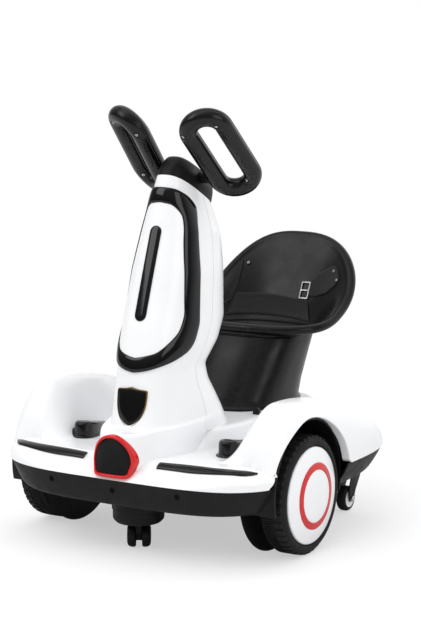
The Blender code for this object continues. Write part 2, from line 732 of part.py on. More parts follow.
def make_apron_bars():
    """Long black bars on the apron, square inboard and drawn to a point outboard."""
    for side, name in ((1, "right_apron_bar"), (-1, "left_apron_bar")):
        rings = [[Vector((side * x, y, z)) for x, y in BAR_OUTLINE] for z in (0.140, 0.190)]
        bar = place(name, lofted(rings), "black_gloss")
        boolean(bar, "INTERSECT", body_skin(BAR_PROUD))
        seat_on_body(bar)


def body_skin(lift):
    """The white body's closed outside, grown by lift, as a cutter."""
    found = bpy.data.objects.get("body_lifted")
    return found or tool("body_lifted", body_dome(-lift, BODY_EDGE_Z - 0.03))


# Seat

def oval(half_width, half_depth, centre_y, height, power=2.69, count=24):
    """A squared oval ring; height is a number or a function of how far back a point lies."""
    ring = []
    for k in range(count):
        angle = 2 * math.pi * k / count
        c, s = math.cos(angle), math.sin(angle)
        x = half_width * math.copysign(abs(c) ** (2 / power), c)
        y = centre_y + half_depth * math.copysign(abs(s) ** (2 / power), s)
        back = (y - centre_y + half_depth) / (2 * half_depth)
        z = height(back) if callable(height) else height
        ring.append(Vector((x, y, z)))
    return ring


def rim_height(back):
    """The seat rim is low in front and rises to the backrest."""
    return RIM_FRONT_Z + (RIM_BACK_Z - RIM_FRONT_Z) * max(back, 0.0) ** RIM_RISE_POWER


def rim_ring(angle, inset=0.0):
    """A ring on the rolled rim, angle from straight out (0) over the top (90) to inside (180)."""
    out = RIM_TUBE * math.cos(math.radians(angle)) - inset
    up = RIM_TUBE * math.sin(math.radians(angle))
    return oval(RIM_HALF_WIDTH + out, RIM_HALF_DEPTH + out, RIM_CENTRE_Y,
                lambda back: rim_height(back) + up)


LEDGE_Z = PEDESTAL_TOP_Z + GAP
BUCKET_FLOOR_Z = 0.262


def bowl_rings(inset=0.0):
    """The bucket's inside from its rim down to its floor, drawn in by inset."""
    rings = [rim_ring(165, inset),
             oval(0.1225 - inset, 0.1010 - inset, 0.3135, lambda b: 0.3225 + 0.075 * b ** 2)]
    for half_width, half_depth, centre_y, z in ((0.101, 0.085, 0.292, LEDGE_Z + WALL),
                                                (0.0825, 0.0715, 0.288, LEDGE_Z + WALL * 0.8),
                                                (0.075, 0.062, 0.275, BUCKET_FLOOR_Z + WALL),
                                                (0.062, 0.050, 0.272, BUCKET_FLOOR_Z - 0.008 + WALL)):
        rings.append(oval(half_width - inset, half_depth - inset, centre_y, z))
    return rings


def make_seat():
    """Bucket with a rolled rim, standing on a tapered pedestal with a thin foot flange."""
    ledge_z = LEDGE_Z
    floor_z = BUCKET_FLOOR_Z
    outer = [oval(0.064, 0.052, 0.272, floor_z - 0.008), oval(0.078, 0.065, 0.275, floor_z),
             oval(0.0855, 0.0745, 0.288, ledge_z), oval(0.104, 0.088, 0.293, ledge_z),
             oval(0.126, 0.1045, 0.314, lambda b: 0.3185 + 0.075 * b ** 2),
             rim_ring(-55), rim_ring(0), rim_ring(55), rim_ring(110)]
    place("seat_bucket", lofted(outer + bowl_rings()), "seat_plastic")
    foot_z = PLATFORM_Z + GAP
    wide, deep, middle = PEDESTAL_HALF_WIDTH, PEDESTAL_HALF_DEPTH, PEDESTAL_CENTRE_Y
    top = (0.098, 0.0850, 0.288)
    rings = []
    for grow, z, share in ((FLANGE_OUT, foot_z, 0), (FLANGE_OUT, foot_z + FLANGE_HEIGHT, 0),
                           (0, foot_z + FLANGE_HEIGHT + 0.001, 0.04), (-0.002, 0.255, 0.5),
                           (0, PEDESTAL_TOP_Z, 1)):
        rings.append(oval(wide + (top[0] - wide) * share + grow, deep + (top[1] - deep) * share + grow,
                          middle + (top[2] - middle) * share, z))
    back = []
    for grow, z, share in ((0, PEDESTAL_TOP_Z, 1), (-0.002, 0.255, 0.5), (0, foot_z, 0)):
        back.append(oval(wide + (top[0] - wide) * share + grow - WALL,
                         deep + (top[1] - deep) * share + grow - WALL,
                         middle + (top[2] - middle) * share, z))
    shape = bmesh.new()
    skin(shape, rings + back + [rings[0]])
    place("seat_pedestal", shape, "seat_plastic")


STRAP_OUTLINE = ((-0.0980, 0.3275), (-0.0260, 0.3270), (0.0620, 0.3235), (0.0520, 0.3400),
                 (0.0455, 0.3575), (0.0200, 0.3580), (-0.0320, 0.3640), (-0.0980, 0.3640))
SLIDE_OUTLINE = ((0.0265, 0.3583), (0.0450, 0.3583), (0.0450, 0.3910), (0.0265, 0.3910))
RIGHT_TAB_OUTLINE = ((0.0454, 0.3640), (0.0600, 0.3660), (0.0850, 0.3740), (0.1030, 0.3900),
                     (0.1070, 0.4020), (0.0985, 0.4170), (0.0875, 0.4230), (0.0600, 0.4080),
                     (0.0454, 0.3880))
LEFT_TAB_OUTLINE = ((0.3490, 0.3450), (0.3720, 0.3470), (0.4000, 0.3720), (0.4220, 0.4050),
                    (0.4240, 0.4170), (0.4150, 0.4200), (0.4040, 0.4020), (0.3810, 0.3790),
                    (0.3620, 0.3620), (0.3490, 0.3520))


def bowl_solid(inset):
    """The room inside the bucket, drawn in by inset, as a cutter that is made once."""
    name = "bowl_%d" % round(inset * 1e5)
    found = bpy.data.objects.get(name)
    if found:
        return found
    rings = bowl_rings(inset)
    rings.insert(0, [point + Vector((0, 0, 0.12)) for point in rings[0]])
    return tool(name, lofted(rings))


def lining(name, outline, thickness, finish, sideways=False):
    """A flat piece that lies on the bucket's inner wall, drawn as (x, z), or (y, z) for sideways."""
    near, far = (-0.135, -0.086) if sideways else (0.340, 0.470)
    rings = []
    for reach in (near, far):
        rings.append([Vector((reach, a, z)) if sideways else Vector((a, reach, z)) for a, z in outline])
    piece = place(name, lofted(rings), finish)
    boolean(piece, "INTERSECT", bowl_solid(GAP))
    boolean(piece, "DIFFERENCE", bowl_solid(GAP + thickness))
    return piece


def make_belt():
    """Waist belt against the bucket's back: a tab screwed on at each side, the strap and its slide."""
    lining("waist_strap", STRAP_OUTLINE, 0.0018, "webbing")
    left = lining("left_belt_tab", LEFT_TAB_OUTLINE, 0.0022, "black_plastic", sideways=True)
    rings = [[Vector((x, y, z)) for x, z in drawn_in(STRAP_OUTLINE, -GAP)] for y in (0.33, 0.48)]
    boolean(left, "DIFFERENCE", tool("strap_room", lofted(rings)))
    lining("right_belt_tab", RIGHT_TAB_OUTLINE, 0.0018, "webbing")
    lining("belt_slide", SLIDE_OUTLINE, 0.0034, "bare_steel")


# Console and ring levers

TOP_SPEC = SECTIONS[-1]


def console_ring(lift, width, front_in, rear_in, inset=0.0, count=20):
    """A ring of the console cap, raised square to its tilted foot."""
    (front_y, front_z), (rear_y, rear_z), _, power, _ = TOP_SPEC
    front = Vector((0, front_y, front_z))
    rear = Vector((0, rear_y, rear_z))
    along = (rear - front).normalized()
    up = Vector((0, -along.z, along.y))
    start = front + along * (front_in + inset) + up * lift
    end = rear - along * (rear_in + inset) + up * lift
    middle = start.lerp(end, WIDEST_SHARE)
    ring = []
    for k in range(count):
        angle = 2 * math.pi * k / count
        c, s = math.cos(angle), math.sin(angle)
        tip = end if s > 0 else start
        point = middle + (tip - middle) * abs(s) ** (2 / power)
        point.x = (width - inset) * math.copysign(abs(c) ** (2 / power), c)
        ring.append(point)
    return ring


def console_frame():
    """The tilted console's own directions: along its top, and square to it."""
    (front_y, front_z), (rear_y, rear_z) = TOP_SPEC[0], TOP_SPEC[1]
    along = Vector((0, rear_y - front_y, rear_z - front_z)).normalized()
    return along, Vector((0, -along.z, along.y))


CONSOLE_HEIGHT = 0.040
CONSOLE_TOP_WIDTH = 0.0215


def make_console():
    """Black console cap over the lever pivot, with two sprung push buttons on its sloping top."""
    foot = GAP
    outer = [console_ring(foot, TOP_SPEC[2], 0, 0), console_ring(0.017, 0.0300, 0.001, 0.001),
             console_ring(0.030, 0.0265, 0.005, 0.004), console_ring(0.037, 0.0245, 0.010, 0.009),
             console_ring(CONSOLE_HEIGHT, CONSOLE_TOP_WIDTH, 0.015, 0.014)]
    inner = [console_ring(CONSOLE_HEIGHT - WALL, CONSOLE_TOP_WIDTH, 0.015, 0.014, WALL * 0.6),
             console_ring(0.030 - WALL * 0.3, 0.0265, 0.005, 0.004, WALL),
             console_ring(0.017, 0.0300, 0.001, 0.001, WALL),
             console_ring(foot, TOP_SPEC[2], 0, 0, WALL)]
    cap = place("console_cap", pan(outer, inner), "black_plastic")
    pivot_cut = tool("hub_holes", rod(HUB_RADIUS + SLIDE_FIT, (-0.05, PIVOT_Y, PIVOT_Z),
                                      (0.05, PIVOT_Y, PIVOT_Z), 20))
    boolean(cap, "DIFFERENCE", pivot_cut)
    along, up = console_frame()
    top_front = Vector((0, TOP_SPEC[0][0], TOP_SPEC[0][1])) + up * CONSOLE_HEIGHT
    wells = []
    for name, distance, finish in (("power_button", 0.038, "red_gloss"),
                                   ("music_button", 0.083, "grey_plastic")):
        spot = top_front + along * distance
        wells.append(rod(BUTTON_RADIUS + SLIDE_FIT, spot - up * 0.012, spot + up * 0.012))
        shape = rod(BUTTON_RADIUS, spot - up * 0.0065, spot + up * BUTTON_PROUD)
        place(name, shape, finish, pivot=spot)
    boolean(cap, "DIFFERENCE", tool("button_holes", merged(*wells)))


BUTTON_RADIUS = 0.0075
BUTTON_PROUD = 0.0028


def pan(outer, inner):
    """A closed-topped hollow: outer rings from foot to top, inner rings from top to foot."""
    shape = bmesh.new()
    rows = skin(shape, outer)
    shape.faces.new(rows[-1])
    rows_in = skin(shape, inner)
    shape.faces.new(rows_in[0])
    count = len(outer[0])
    for i in range(count):
        j = (i + 1) % count
        shape.faces.new((rows[0][i], rows[0][j], rows_in[-1][j], rows_in[-1][i]))
    return shape


def ring_frame(side):
    """A ring lever's own axes: across its width, up its long way, and out of its front."""
    turn = Matrix.Rotation(RING_SPLAY, 3, "Z") @ Matrix.Rotation(-RING_CANT, 3, "Y")
    across = turn @ Vector((1, 0, 0))
    lean = Vector((0, -math.sin(RING_LEAN), math.cos(RING_LEAN)))
    upward = (lean - across * lean.dot(across)).normalized()
    front = across.cross(upward)
    if front.y > 0:
        front = -front
    flip = Vector((side, 1, 1))
    return [Vector(v[i] * flip[i] for i in range(3)) for v in (across, upward, front)]


def ring_path(side):
    """Centre line of a ring lever: (point, direction outward in its plane)."""
    across, upward, _ = ring_frame(side)
    centre = mirrored(RING_CENTRE, side)
    path = []
    for sign in (1, -1):
        for k in range(7):
            angle = math.pi * k / 6
            out = across * math.cos(angle) + upward * math.sin(angle)
            out = out if sign == 1 else -out
            path.append((centre + upward * RING_STRAIGHT * sign + out * RING_HALF_WIDTH, out))
    return path


def make_ring_lever(side, label):
    """One ring: front and rear half shells, and the hub that turns on the pivot rod."""
    pivot = Vector((0, PIVOT_Y, PIVOT_Z))
    _, _, front = ring_frame(side)
    for facing, half_name in ((1, "front"), (-1, "rear")):
        rings = []
        for point, out in ring_path(side):
            ring = []
            for radius, angles in ((RING_TUBE, (0, 45, 90, 135, 180)),
                                   (RING_TUBE - RING_WALL, (180, 120, 60, 0))):
                for angle in angles:
                    a = math.radians(angle)
                    ring.append(point + out * radius * math.cos(a)
                                + front * facing * (radius * math.sin(a) + GAP / 2))
            rings.append(ring)
        shape = bmesh.new()
        skin(shape, rings + [rings[0]])
        place(label + "_handle_" + half_name, shape, "black_gloss", pivot=pivot)
    _, upward, _ = ring_frame(side)
    profile = [(PIVOT_ROD_RADIUS + SLIDE_FIT, 0.0100), (HUB_WAIST, 0.0100), (HUB_WAIST, 0.0225),
               (HUB_RADIUS, 0.0225), (HUB_RADIUS, 0.0500), (PIVOT_ROD_RADIUS + SLIDE_FIT, 0.0500)]
    shape = turned([(r, side * x) for r, x in profile], 20, "X", pivot)
    hub = place(label + "_lever_hub", shape, "grey_plastic", pivot=pivot)
    inner_leg = mirrored(RING_CENTRE, side) - ring_frame(side)[0] * RING_HALF_WIDTH
    saddle = rod(RING_TUBE + GAP, inner_leg - upward * (RING_STRAIGHT + 0.05),
                 inner_leg + upward * 0.02, 24)
    trim = tool(label + "_saddle", saddle)
    boolean(hub, "DIFFERENCE", trim)
    make_return_spring(side, label, pivot)


def make_return_spring(side, label, pivot):
    """Torsion spring wound round the hub's waist, which brings the lever back to the middle."""
    turns, per_turn, wire = 3, 8, 0.0006
    coil_radius = (HUB_WAIST + GAP + wire * 1.42) / math.cos(math.pi / per_turn)
    curve = bpy.data.curves.new(label + "_return_spring", "CURVE")
    curve.dimensions = "3D"
    curve.bevel_depth = wire
    curve.bevel_resolution = 0
    curve.use_fill_caps = True
    line = curve.splines.new("POLY")
    count = turns * per_turn + 1
    line.points.add(count - 1)
    for k in range(count):
        angle = 2 * math.pi * k / per_turn
        x = side * (0.0115 + 0.0090 * k / (count - 1))
        line.points[k].co = (x, coil_radius * math.cos(angle), coil_radius * math.sin(angle), 1)
    curve.materials.append(material("bare_steel"))
    made = bpy.data.objects.new(label + "_return_spring", curve)
    made.location = pivot + Vector((0, AXLE_Y, 0))
    bpy.context.scene.collection.objects.link(made)


def make_column_inside():
    """Steel post inside the column, with the lug that holds the pivot rod."""
    foot = Vector((0, -0.015, PLATFORM_Z + GAP + 0.0025))
    head = Vector((0, PIVOT_Y, PIVOT_Z - 0.014))
    post = place("column_post", rod(POST_RADIUS, foot, head, 16), "bare_steel")
    base = tool("post_base", block((-0.030, -0.045, PLATFORM_Z + GAP), (0.030, 0.015, PLATFORM_Z + 0.0055)))
    lug = tool("post_lug", rod(0.0085, (-0.009, PIVOT_Y, PIVOT_Z), (0.009, PIVOT_Y, PIVOT_Z), 16))
    neck = tool("post_neck", block((-0.007, PIVOT_Y - 0.006, PIVOT_Z - 0.02),
                                   (0.007, PIVOT_Y + 0.006, PIVOT_Z - 0.002)))
    bore = tool("post_bore", rod(PIVOT_ROD_RADIUS + GAP, (-0.02, PIVOT_Y, PIVOT_Z),
                                 (0.02, PIVOT_Y, PIVOT_Z), 16))
    boolean(post, "UNION", base)
    boolean(post, "UNION", neck)
    boolean(post, "UNION", lug)
    boolean(post, "DIFFERENCE", bore)
    place("pivot_rod", rod(PIVOT_ROD_RADIUS, (-0.0325, PIVOT_Y, PIVOT_Z), (0.0325, PIVOT_Y, PIVOT_Z), 12),
          "bare_steel")


# Drive

def cap_face(radius):
    """Outer face of the domed wheel cap, from the middle of the object."""
    crown = HALF_TRACK + TYRE_WIDTH / 2 + CAP_BULGE
    return crown - CAP_BULGE * (radius / CAP_RADIUS) ** 2.4


def make_drive_wheel(side, label):
    """Tyre, rim, domed cap, red ring and the axle they turn on."""
    pivot = Vector((side * HALF_TRACK, WHEEL_Y, TYRE_RADIUS))
    half = TYRE_WIDTH / 2
    centre = Vector((0, WHEEL_Y, TYRE_RADIUS))

    def spun(profile, segments=28):
        return turned([(r, side * x) for r, x in profile], segments, "X", centre)

    inner_x, outer_x = HALF_TRACK - half, HALF_TRACK + half
    bore = RIM_RADIUS + GAP
    tyre = [(bore, inner_x + 0.003), (0.092, inner_x), (TYRE_RADIUS - 0.0015, inner_x + 0.006),
            (TYRE_RADIUS, inner_x + 0.012), (TYRE_RADIUS, outer_x - 0.012),
            (TYRE_RADIUS - 0.0015, outer_x - 0.006), (0.092, outer_x), (CAP_RADIUS + 0.0035, outer_x),
            (CAP_RADIUS + 0.002, outer_x - 0.003), (bore, outer_x - 0.003)]
    place(label + "_tyre", spun(tyre), "rubber", pivot=pivot)
    web = WALL
    bore = AXLE_RADIUS + GAP
    barrel_in, barrel_out = inner_x + 0.003, outer_x - 0.003
    rim = [(bore, HALF_TRACK - 0.018), (0.016, HALF_TRACK - 0.018), (0.016, HALF_TRACK - web),
           (RIM_RADIUS - 0.005, HALF_TRACK - web), (RIM_RADIUS - 0.005, barrel_in),
           (RIM_RADIUS, barrel_in), (RIM_RADIUS, barrel_out), (RIM_RADIUS - 0.005, barrel_out),
           (RIM_RADIUS - 0.005, HALF_TRACK + web), (bore, HALF_TRACK + web)]
    place(label + "_rim", spun(rim), "grey_plastic", pivot=pivot)
    back_x = barrel_out + GAP
    groove = 0.0012
    middle = (RING_INNER + RING_OUTER) / 2
    cap = [(0.0, cap_face(0.0)), (RING_INNER, cap_face(RING_INNER)),
           (RING_INNER, cap_face(middle) - groove), (RING_OUTER, cap_face(middle) - groove),
           (RING_OUTER, cap_face(RING_OUTER)), (0.070, cap_face(0.070)),
           (CAP_RADIUS, cap_face(CAP_RADIUS)), (CAP_RADIUS, back_x), (0.066, back_x),
           (0.062, cap_face(0.070) - 0.003), (0.0, cap_face(middle) - groove - 0.002)]
    place(label + "_wheel_cap", spun(cap), "white_gloss", pivot=pivot)
    low, high = RING_INNER + GAP, RING_OUTER - GAP
    floor_x = cap_face(middle) - groove + GAP
    ring = [(low, floor_x), (low, cap_face(low) + 0.0003), (high, cap_face(high) + 0.0003),
            (high, floor_x)]
    place(label + "_wheel_ring", spun(ring), "red_gloss", pivot=pivot)
    axle = rod(AXLE_RADIUS, (side * (WELL_INNER_X - 0.042), WHEEL_Y, TYRE_RADIUS),
               (side * (HALF_TRACK + 0.015), WHEEL_Y, TYRE_RADIUS))
    place(label + "_drive_axle", axle, "bare_steel", pivot=pivot)


def make_gear_motor(side, label):
    """Gearbox on the tub's floor with its motor can lying inboard."""
    outer_x = BELLY_HALF_WIDTH - WALL - 0.0015
    low = (outer_x - 0.0365, WHEEL_Y - 0.034, BELLY_Z + WALL + GAP)
    high = (outer_x, WHEEL_Y + 0.030, 0.150)
    box = block((min(side * low[0], side * high[0]), low[1], low[2]),
                (max(side * low[0], side * high[0]), high[1], high[2]), 0.003)
    gearbox = place(label + "_gear_motor", box, "black_plastic", smooth=False)
    can = tool(label + "_motor_can", rod(0.0185, (side * (low[0] - 0.066), WHEEL_Y - 0.008, 0.126),
                                         (side * (low[0] + 0.005), WHEEL_Y - 0.008, 0.126), 20))
    bore = tool(label + "_motor_bore", rod(AXLE_RADIUS + GAP,
                                           (side * (low[0] - 0.003), WHEEL_Y, TYRE_RADIUS),
                                           (side * (outer_x + 0.014), WHEEL_Y, TYRE_RADIUS)))
    boolean(gearbox, "UNION", can)
    boolean(gearbox, "DIFFERENCE", bore)


def make_electrics():
    """Battery and control board on the belly's floor."""
    floor = BELLY_Z + WALL + GAP
    place("battery", block((-0.075, 0.150, floor), (0.075, 0.250, floor + 0.065), 0.002), "battery_case",
          smooth=False)
    place("control_board", block((-0.045, 0.060, floor), (0.045, 0.120, floor + 0.018), 0.0015),
          "circuit_green", smooth=False)


# Casters

def make_front_caster():
    """Round housing under the tub, and a swivelling fork with twin wheels."""
    centre = Vector((0, FRONT_CASTER_Y, 0))
    low, high = FRONT_HOUSING_LOW_Z, TUB_FLOOR_Z - GAP
    bore = STEM_RADIUS + SLIDE_FIT
    housing = [(bore, low), (FRONT_HOUSING_RADIUS - 0.006, low), (FRONT_HOUSING_RADIUS, low + 0.006),
               (FRONT_HOUSING_RADIUS + 0.001, high), (bore, high)]
    place("front_caster_housing", turned(housing, 24, "Z", centre), "black_plastic")
    turn = Matrix.Rotation(FRONT_YAW, 4, "Z")
    pivot = centre.copy()
    axis = turn @ Vector((1, 0, 0))
    back = turn @ Vector((0, 1, 0))
    hub = centre + back * FRONT_TRAIL + Vector((0, 0, FRONT_WHEEL_RADIUS))
    web_half = 0.0048
    web = bmesh.new()
    outline = [(-0.0075, 0.0455), (0.0075, 0.0455), (0.013, 0.0425), (0.0235, 0.034), (0.0290, 0.022),
               (0.0245, 0.0125), (0.012, 0.0105), (0.003, 0.016), (-0.0040, 0.030)]
    rings = [[centre + back * y + axis * x + Vector((0, 0, z)) for y, z in outline]
             for x in (-web_half, web_half)]
    skin(web, rings, start_cap=True, end_cap=True)
    fork = place("front_caster_fork", web, "black_plastic", pivot=pivot)
    stem = tool("front_stem", rod(STEM_RADIUS, centre + Vector((0, 0, 0.040)),
                                  centre + Vector((0, 0, TUB_FLOOR_Z - 0.004))))
    bore_cut = tool("front_axle_hole", rod(0.002 + GAP, hub - axis * 0.02, hub + axis * 0.02, 12))
    boolean(fork, "UNION", stem)
    boolean(fork, "DIFFERENCE", bore_cut)
    place("front_caster_axle", rod(0.002, hub - axis * 0.0175, hub + axis * 0.0175, 12), "bare_steel",
          pivot=pivot)
    for sign, label in ((1, "right"), (-1, "left")):
        start = web_half + SLIDE_FIT
        end = start + FRONT_WHEEL_WIDTH
        r = FRONT_WHEEL_RADIUS
        profile = [(0.002 + GAP, start), (r - 0.002, start), (r, start + 0.002), (r, start + 0.008),
                   (r - 0.003, end - 0.0022), (r - 0.008, end), (0.002 + GAP, end)]
        shape = turned([(radius, sign * x) for radius, x in profile], 20)
        bmesh.ops.transform(shape, matrix=Matrix.Translation(hub) @ turn, verts=shape.verts)
        place("front_caster_wheel_" + label, shape, "black_plastic", pivot=hub)


def make_rear_caster(side, label):
    """Stamped fork on a king pin, with one wheel on a bolt."""
    swivel = Vector((side * REAR_CASTER_X, REAR_CASTER_Y, 0))
    hub = swivel + Vector((0, -REAR_TRAIL, REAR_WHEEL_RADIUS))
    plate_high = BELLY_Z + CORNER_RISE - GAP
    plate_low = plate_high - 0.003
    inside = REAR_WHEEL_WIDTH / 2 + 0.0010
    thick = 0.0022
    outline = [(-REAR_TRAIL - 0.008, REAR_WHEEL_RADIUS - 0.004), (-REAR_TRAIL + 0.007, REAR_WHEEL_RADIUS - 0.007),
               (-REAR_TRAIL + 0.016, REAR_WHEEL_RADIUS + 0.014), (0.014, plate_low - 0.008),
               (0.016, plate_high), (-0.018, plate_high), (-REAR_TRAIL - 0.009, REAR_WHEEL_RADIUS + 0.018)]
    body = bmesh.new()
    rings = [[swivel + Vector((x, y, z)) for y, z in outline] for x in (-inside - thick, inside + thick)]
    skin(body, rings, start_cap=True, end_cap=True)
    fork = place(label + "_caster_fork", body, "grey_plastic", pivot=swivel)
    room = tool(label + "_fork_room", block(
        (swivel.x - inside, swivel.y - 0.06, -0.01), (swivel.x + inside, swivel.y + 0.06, plate_low)))
    pin = tool(label + "_king_pin", rod(STEM_RADIUS, swivel + Vector((0, 0, plate_low + 0.001)),
                                        swivel + Vector((0, 0, BELLY_Z + 0.012))))
    bolt_hole = tool(label + "_bolt_hole", rod(0.003 + GAP, hub - Vector((0.03, 0, 0)),
                                               hub + Vector((0.03, 0, 0)), 12))
    boolean(fork, "DIFFERENCE", room)
    boolean(fork, "UNION", pin)
    boolean(fork, "DIFFERENCE", bolt_hole)
    reach = inside + thick + GAP
    profile = [(0.0, -reach - 0.004), (0.0055, -reach - 0.004), (0.0055, -reach), (0.003, -reach),
               (0.003, reach), (0.0055, reach), (0.0055, reach + 0.004), (0.0, reach + 0.004)]
    place(label + "_caster_bolt", turned(profile, 12, "X", hub), "chrome", pivot=swivel, smooth=False)
    r, half = REAR_WHEEL_RADIUS, REAR_WHEEL_WIDTH / 2
    profile = [(0.003 + GAP, -half), (r - 0.004, -half), (r, -half + 0.004), (r, half - 0.004),
               (r - 0.004, half), (0.003 + GAP, half)]
    place(label + "_caster_wheel", turned(profile, 20, "X", hub), "rubber", pivot=hub)


def main():
    """Clear the scene and build every piece."""
    for old in list(bpy.data.objects):
        bpy.data.objects.remove(old, do_unlink=True)
    make_body_shell()
    make_base_tub()
    make_column_covers()
    make_column_front()
    make_badge()
    make_nose()
    make_pods()
    make_apron_bars()
    make_seat()
    make_belt()
    make_console()
    make_column_inside()
    make_electrics()
    make_front_caster()
    for side, label in ((1, "right"), (-1, "left")):
        make_ring_lever(side, label)
        make_drive_wheel(side, label)
        make_gear_motor(side, label)
        make_rear_caster(side, label + "_rear")


if __name__ == "__main__":
    main()
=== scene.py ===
"""Kids electric drift scooter: finished pieces, materials, light and camera over the packed frame.

Metres, +Z up, the front faces -Y. Outlines are drawn in the design's own axes, whose Y starts at a
plane just ahead of the drive axle, and to_mesh() moves them by AXLE_Y into the frame's axes.
"""
import math

import bmesh
import bpy
import numpy as np
from bpy.props import FloatProperty, FloatVectorProperty, IntProperty, PointerProperty
from mathutils import Matrix, Vector
from mathutils.bvhtree import BVHTree


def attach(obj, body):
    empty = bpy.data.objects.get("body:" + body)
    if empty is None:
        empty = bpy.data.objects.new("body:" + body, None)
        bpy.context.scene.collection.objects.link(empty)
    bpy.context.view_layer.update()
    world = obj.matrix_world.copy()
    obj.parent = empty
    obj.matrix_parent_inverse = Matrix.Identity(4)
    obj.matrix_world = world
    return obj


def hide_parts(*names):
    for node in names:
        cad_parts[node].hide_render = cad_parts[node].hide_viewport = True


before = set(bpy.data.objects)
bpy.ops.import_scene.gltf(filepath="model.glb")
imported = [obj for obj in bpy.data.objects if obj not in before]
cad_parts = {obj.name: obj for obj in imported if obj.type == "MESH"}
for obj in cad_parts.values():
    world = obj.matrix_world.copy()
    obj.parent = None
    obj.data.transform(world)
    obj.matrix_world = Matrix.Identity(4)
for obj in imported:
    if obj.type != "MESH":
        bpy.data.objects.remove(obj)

bl_info = {
    "name": "Drift scooter builder",
    "version": (1, 0, 0),
    "blender": (4, 5, 0),
    "location": "3D View > Sidebar > Scooter",
    "description": "Builds the scooter's finished pieces over its packed frame",
    "category": "Object",
}

# Where the design's own Y starts in the frame
AXLE_Y = -0.13325

# The body's plan and heights, as the frame's solids have them
BODY_HALF_WIDTH = 0.278
FRONT_REACH = 0.190
REAR_REACH = 0.360
BODY_MIDDLE_Y = (REAR_REACH - FRONT_REACH) / 2
BODY_HALF_LENGTH = (REAR_REACH + FRONT_REACH) / 2
BODY_EDGE_Z = 0.135
DECK_Z = 0.166
PLATFORM_Z = 0.198
PLATFORM_RISE = PLATFORM_Z - DECK_Z
PLATFORM_REAR_Y = 0.3525
TYRE_RADIUS = 0.100
HALF_TRACK = 0.240
TYRE_INNER = HALF_TRACK - 0.024
TYRE_OUTER = HALF_TRACK + 0.024
WHEEL_CENTRE = (0, 0.010, TYRE_RADIUS)
ARCH_RADIUS = 0.115
ARCH_Y = 0.005
ARCH_Z = 0.115

RED = "#D3171B"
LEFT_AND_RIGHT = (("left", -1), ("right", 1))


def linear(code):
    """The linear colour of an sRGB hex code."""
    channels = [int(code[i:i + 2], 16) / 255 for i in (1, 3, 5)]
    return tuple(c / 12.92 if c <= 0.04045 else ((c + 0.055) / 1.055) ** 2.4 for c in channels)


class ScooterSizes(bpy.types.PropertyGroup):
    """Sizes that a user may change."""
    wall: FloatProperty(name="Wall", description="Thickness of the moulded walls", default=0.003,
                        unit="LENGTH")
    seam: FloatProperty(name="Seam", description="Gap between the column's covers", default=0.0010,
                        unit="LENGTH")
    lip: FloatProperty(name="Arch lip", description="Half the thickness of the arches' rolled lip",
                       default=0.0018, unit="LENGTH")
    lugs: IntProperty(name="Lugs", description="Tread lugs round each tyre", default=44)
    ribs: IntProperty(name="Ribs", description="Cross ribs round each tyre", default=132)
    screw: FloatProperty(name="Screw", description="Radius of a screw head", default=0.0032,
                         unit="LENGTH")


class ScooterColours(bpy.types.PropertyGroup):
    """Colours that a user may change."""
    white: FloatVectorProperty(name="White", description="Body mouldings", subtype="COLOR",
                               default=linear("#F3F4F6"))
    black: FloatVectorProperty(name="Black", description="Gloss trim", subtype="COLOR",
                               default=linear("#08080A"))
    seat: FloatVectorProperty(name="Seat", description="Seat moulding", subtype="COLOR",
                              default=linear("#0A0A0B"))
    accent: FloatVectorProperty(name="Accent", description="Rings and nose border", subtype="COLOR",
                                default=linear(RED))
    floor: FloatVectorProperty(name="Floor", description="Floor and backdrop", subtype="COLOR",
                               default=linear("#FBFBFB"))


# Materials


def add_node(tree, kind, inputs=None, **settings):
    """Add a node with its settings, socket values and links."""
    made = tree.nodes.new(kind)
    for name, value in settings.items():
        setattr(made, name, value)
    for socket, value in (inputs or {}).items():
        if isinstance(value, bpy.types.NodeSocket):
            tree.links.new(value, made.inputs[socket])
        else:
            made.inputs[socket].default_value = value
    return made


def start_material(name, colour):
    """A new material: (tree, shader, object coordinates)."""
    made = bpy.data.materials.new("finish_" + name)
    made.use_nodes = True
    made.diffuse_color = (*colour, 1)
    tree = made.node_tree
    shader = tree.nodes["Principled BSDF"]
    return tree, shader, add_node(tree, "ShaderNodeTexCoord").outputs["Object"]


def noise(tree, coords, size, detail=2.0, stretch=(1, 1, 1)):
    """Noise whose features are about size metres across."""
    if stretch != (1, 1, 1):
        coords = add_node(tree, "ShaderNodeMapping", {"Vector": coords, "Scale": stretch}).outputs[0]
    return add_node(tree, "ShaderNodeTexNoise", {"Vector": coords, "Scale": 1 / size,
                                                 "Detail": detail}).outputs["Fac"]


def spread(tree, value, low, high, start=0.3, end=0.7):
    """A 0 to 1 value spread between two limits."""
    return add_node(tree, "ShaderNodeMapRange", {"Value": value, "From Min": start, "From Max": end,
                                                 "To Min": low, "To Max": high}).outputs[0]


def blend_colour(tree, share, first, second):
    """Two colours mixed by a share."""
    return add_node(tree, "ShaderNodeMix", {0: share, 6: (*first, 1), 7: (*second, 1)},
                    data_type="RGBA").outputs[2]


def bump(tree, height, depth):
    """A bump of a real depth in metres from a 0 to 1 height."""
    return add_node(tree, "ShaderNodeBump", {"Height": height, "Distance": depth,
                                             "Strength": 1.0}).outputs[0]


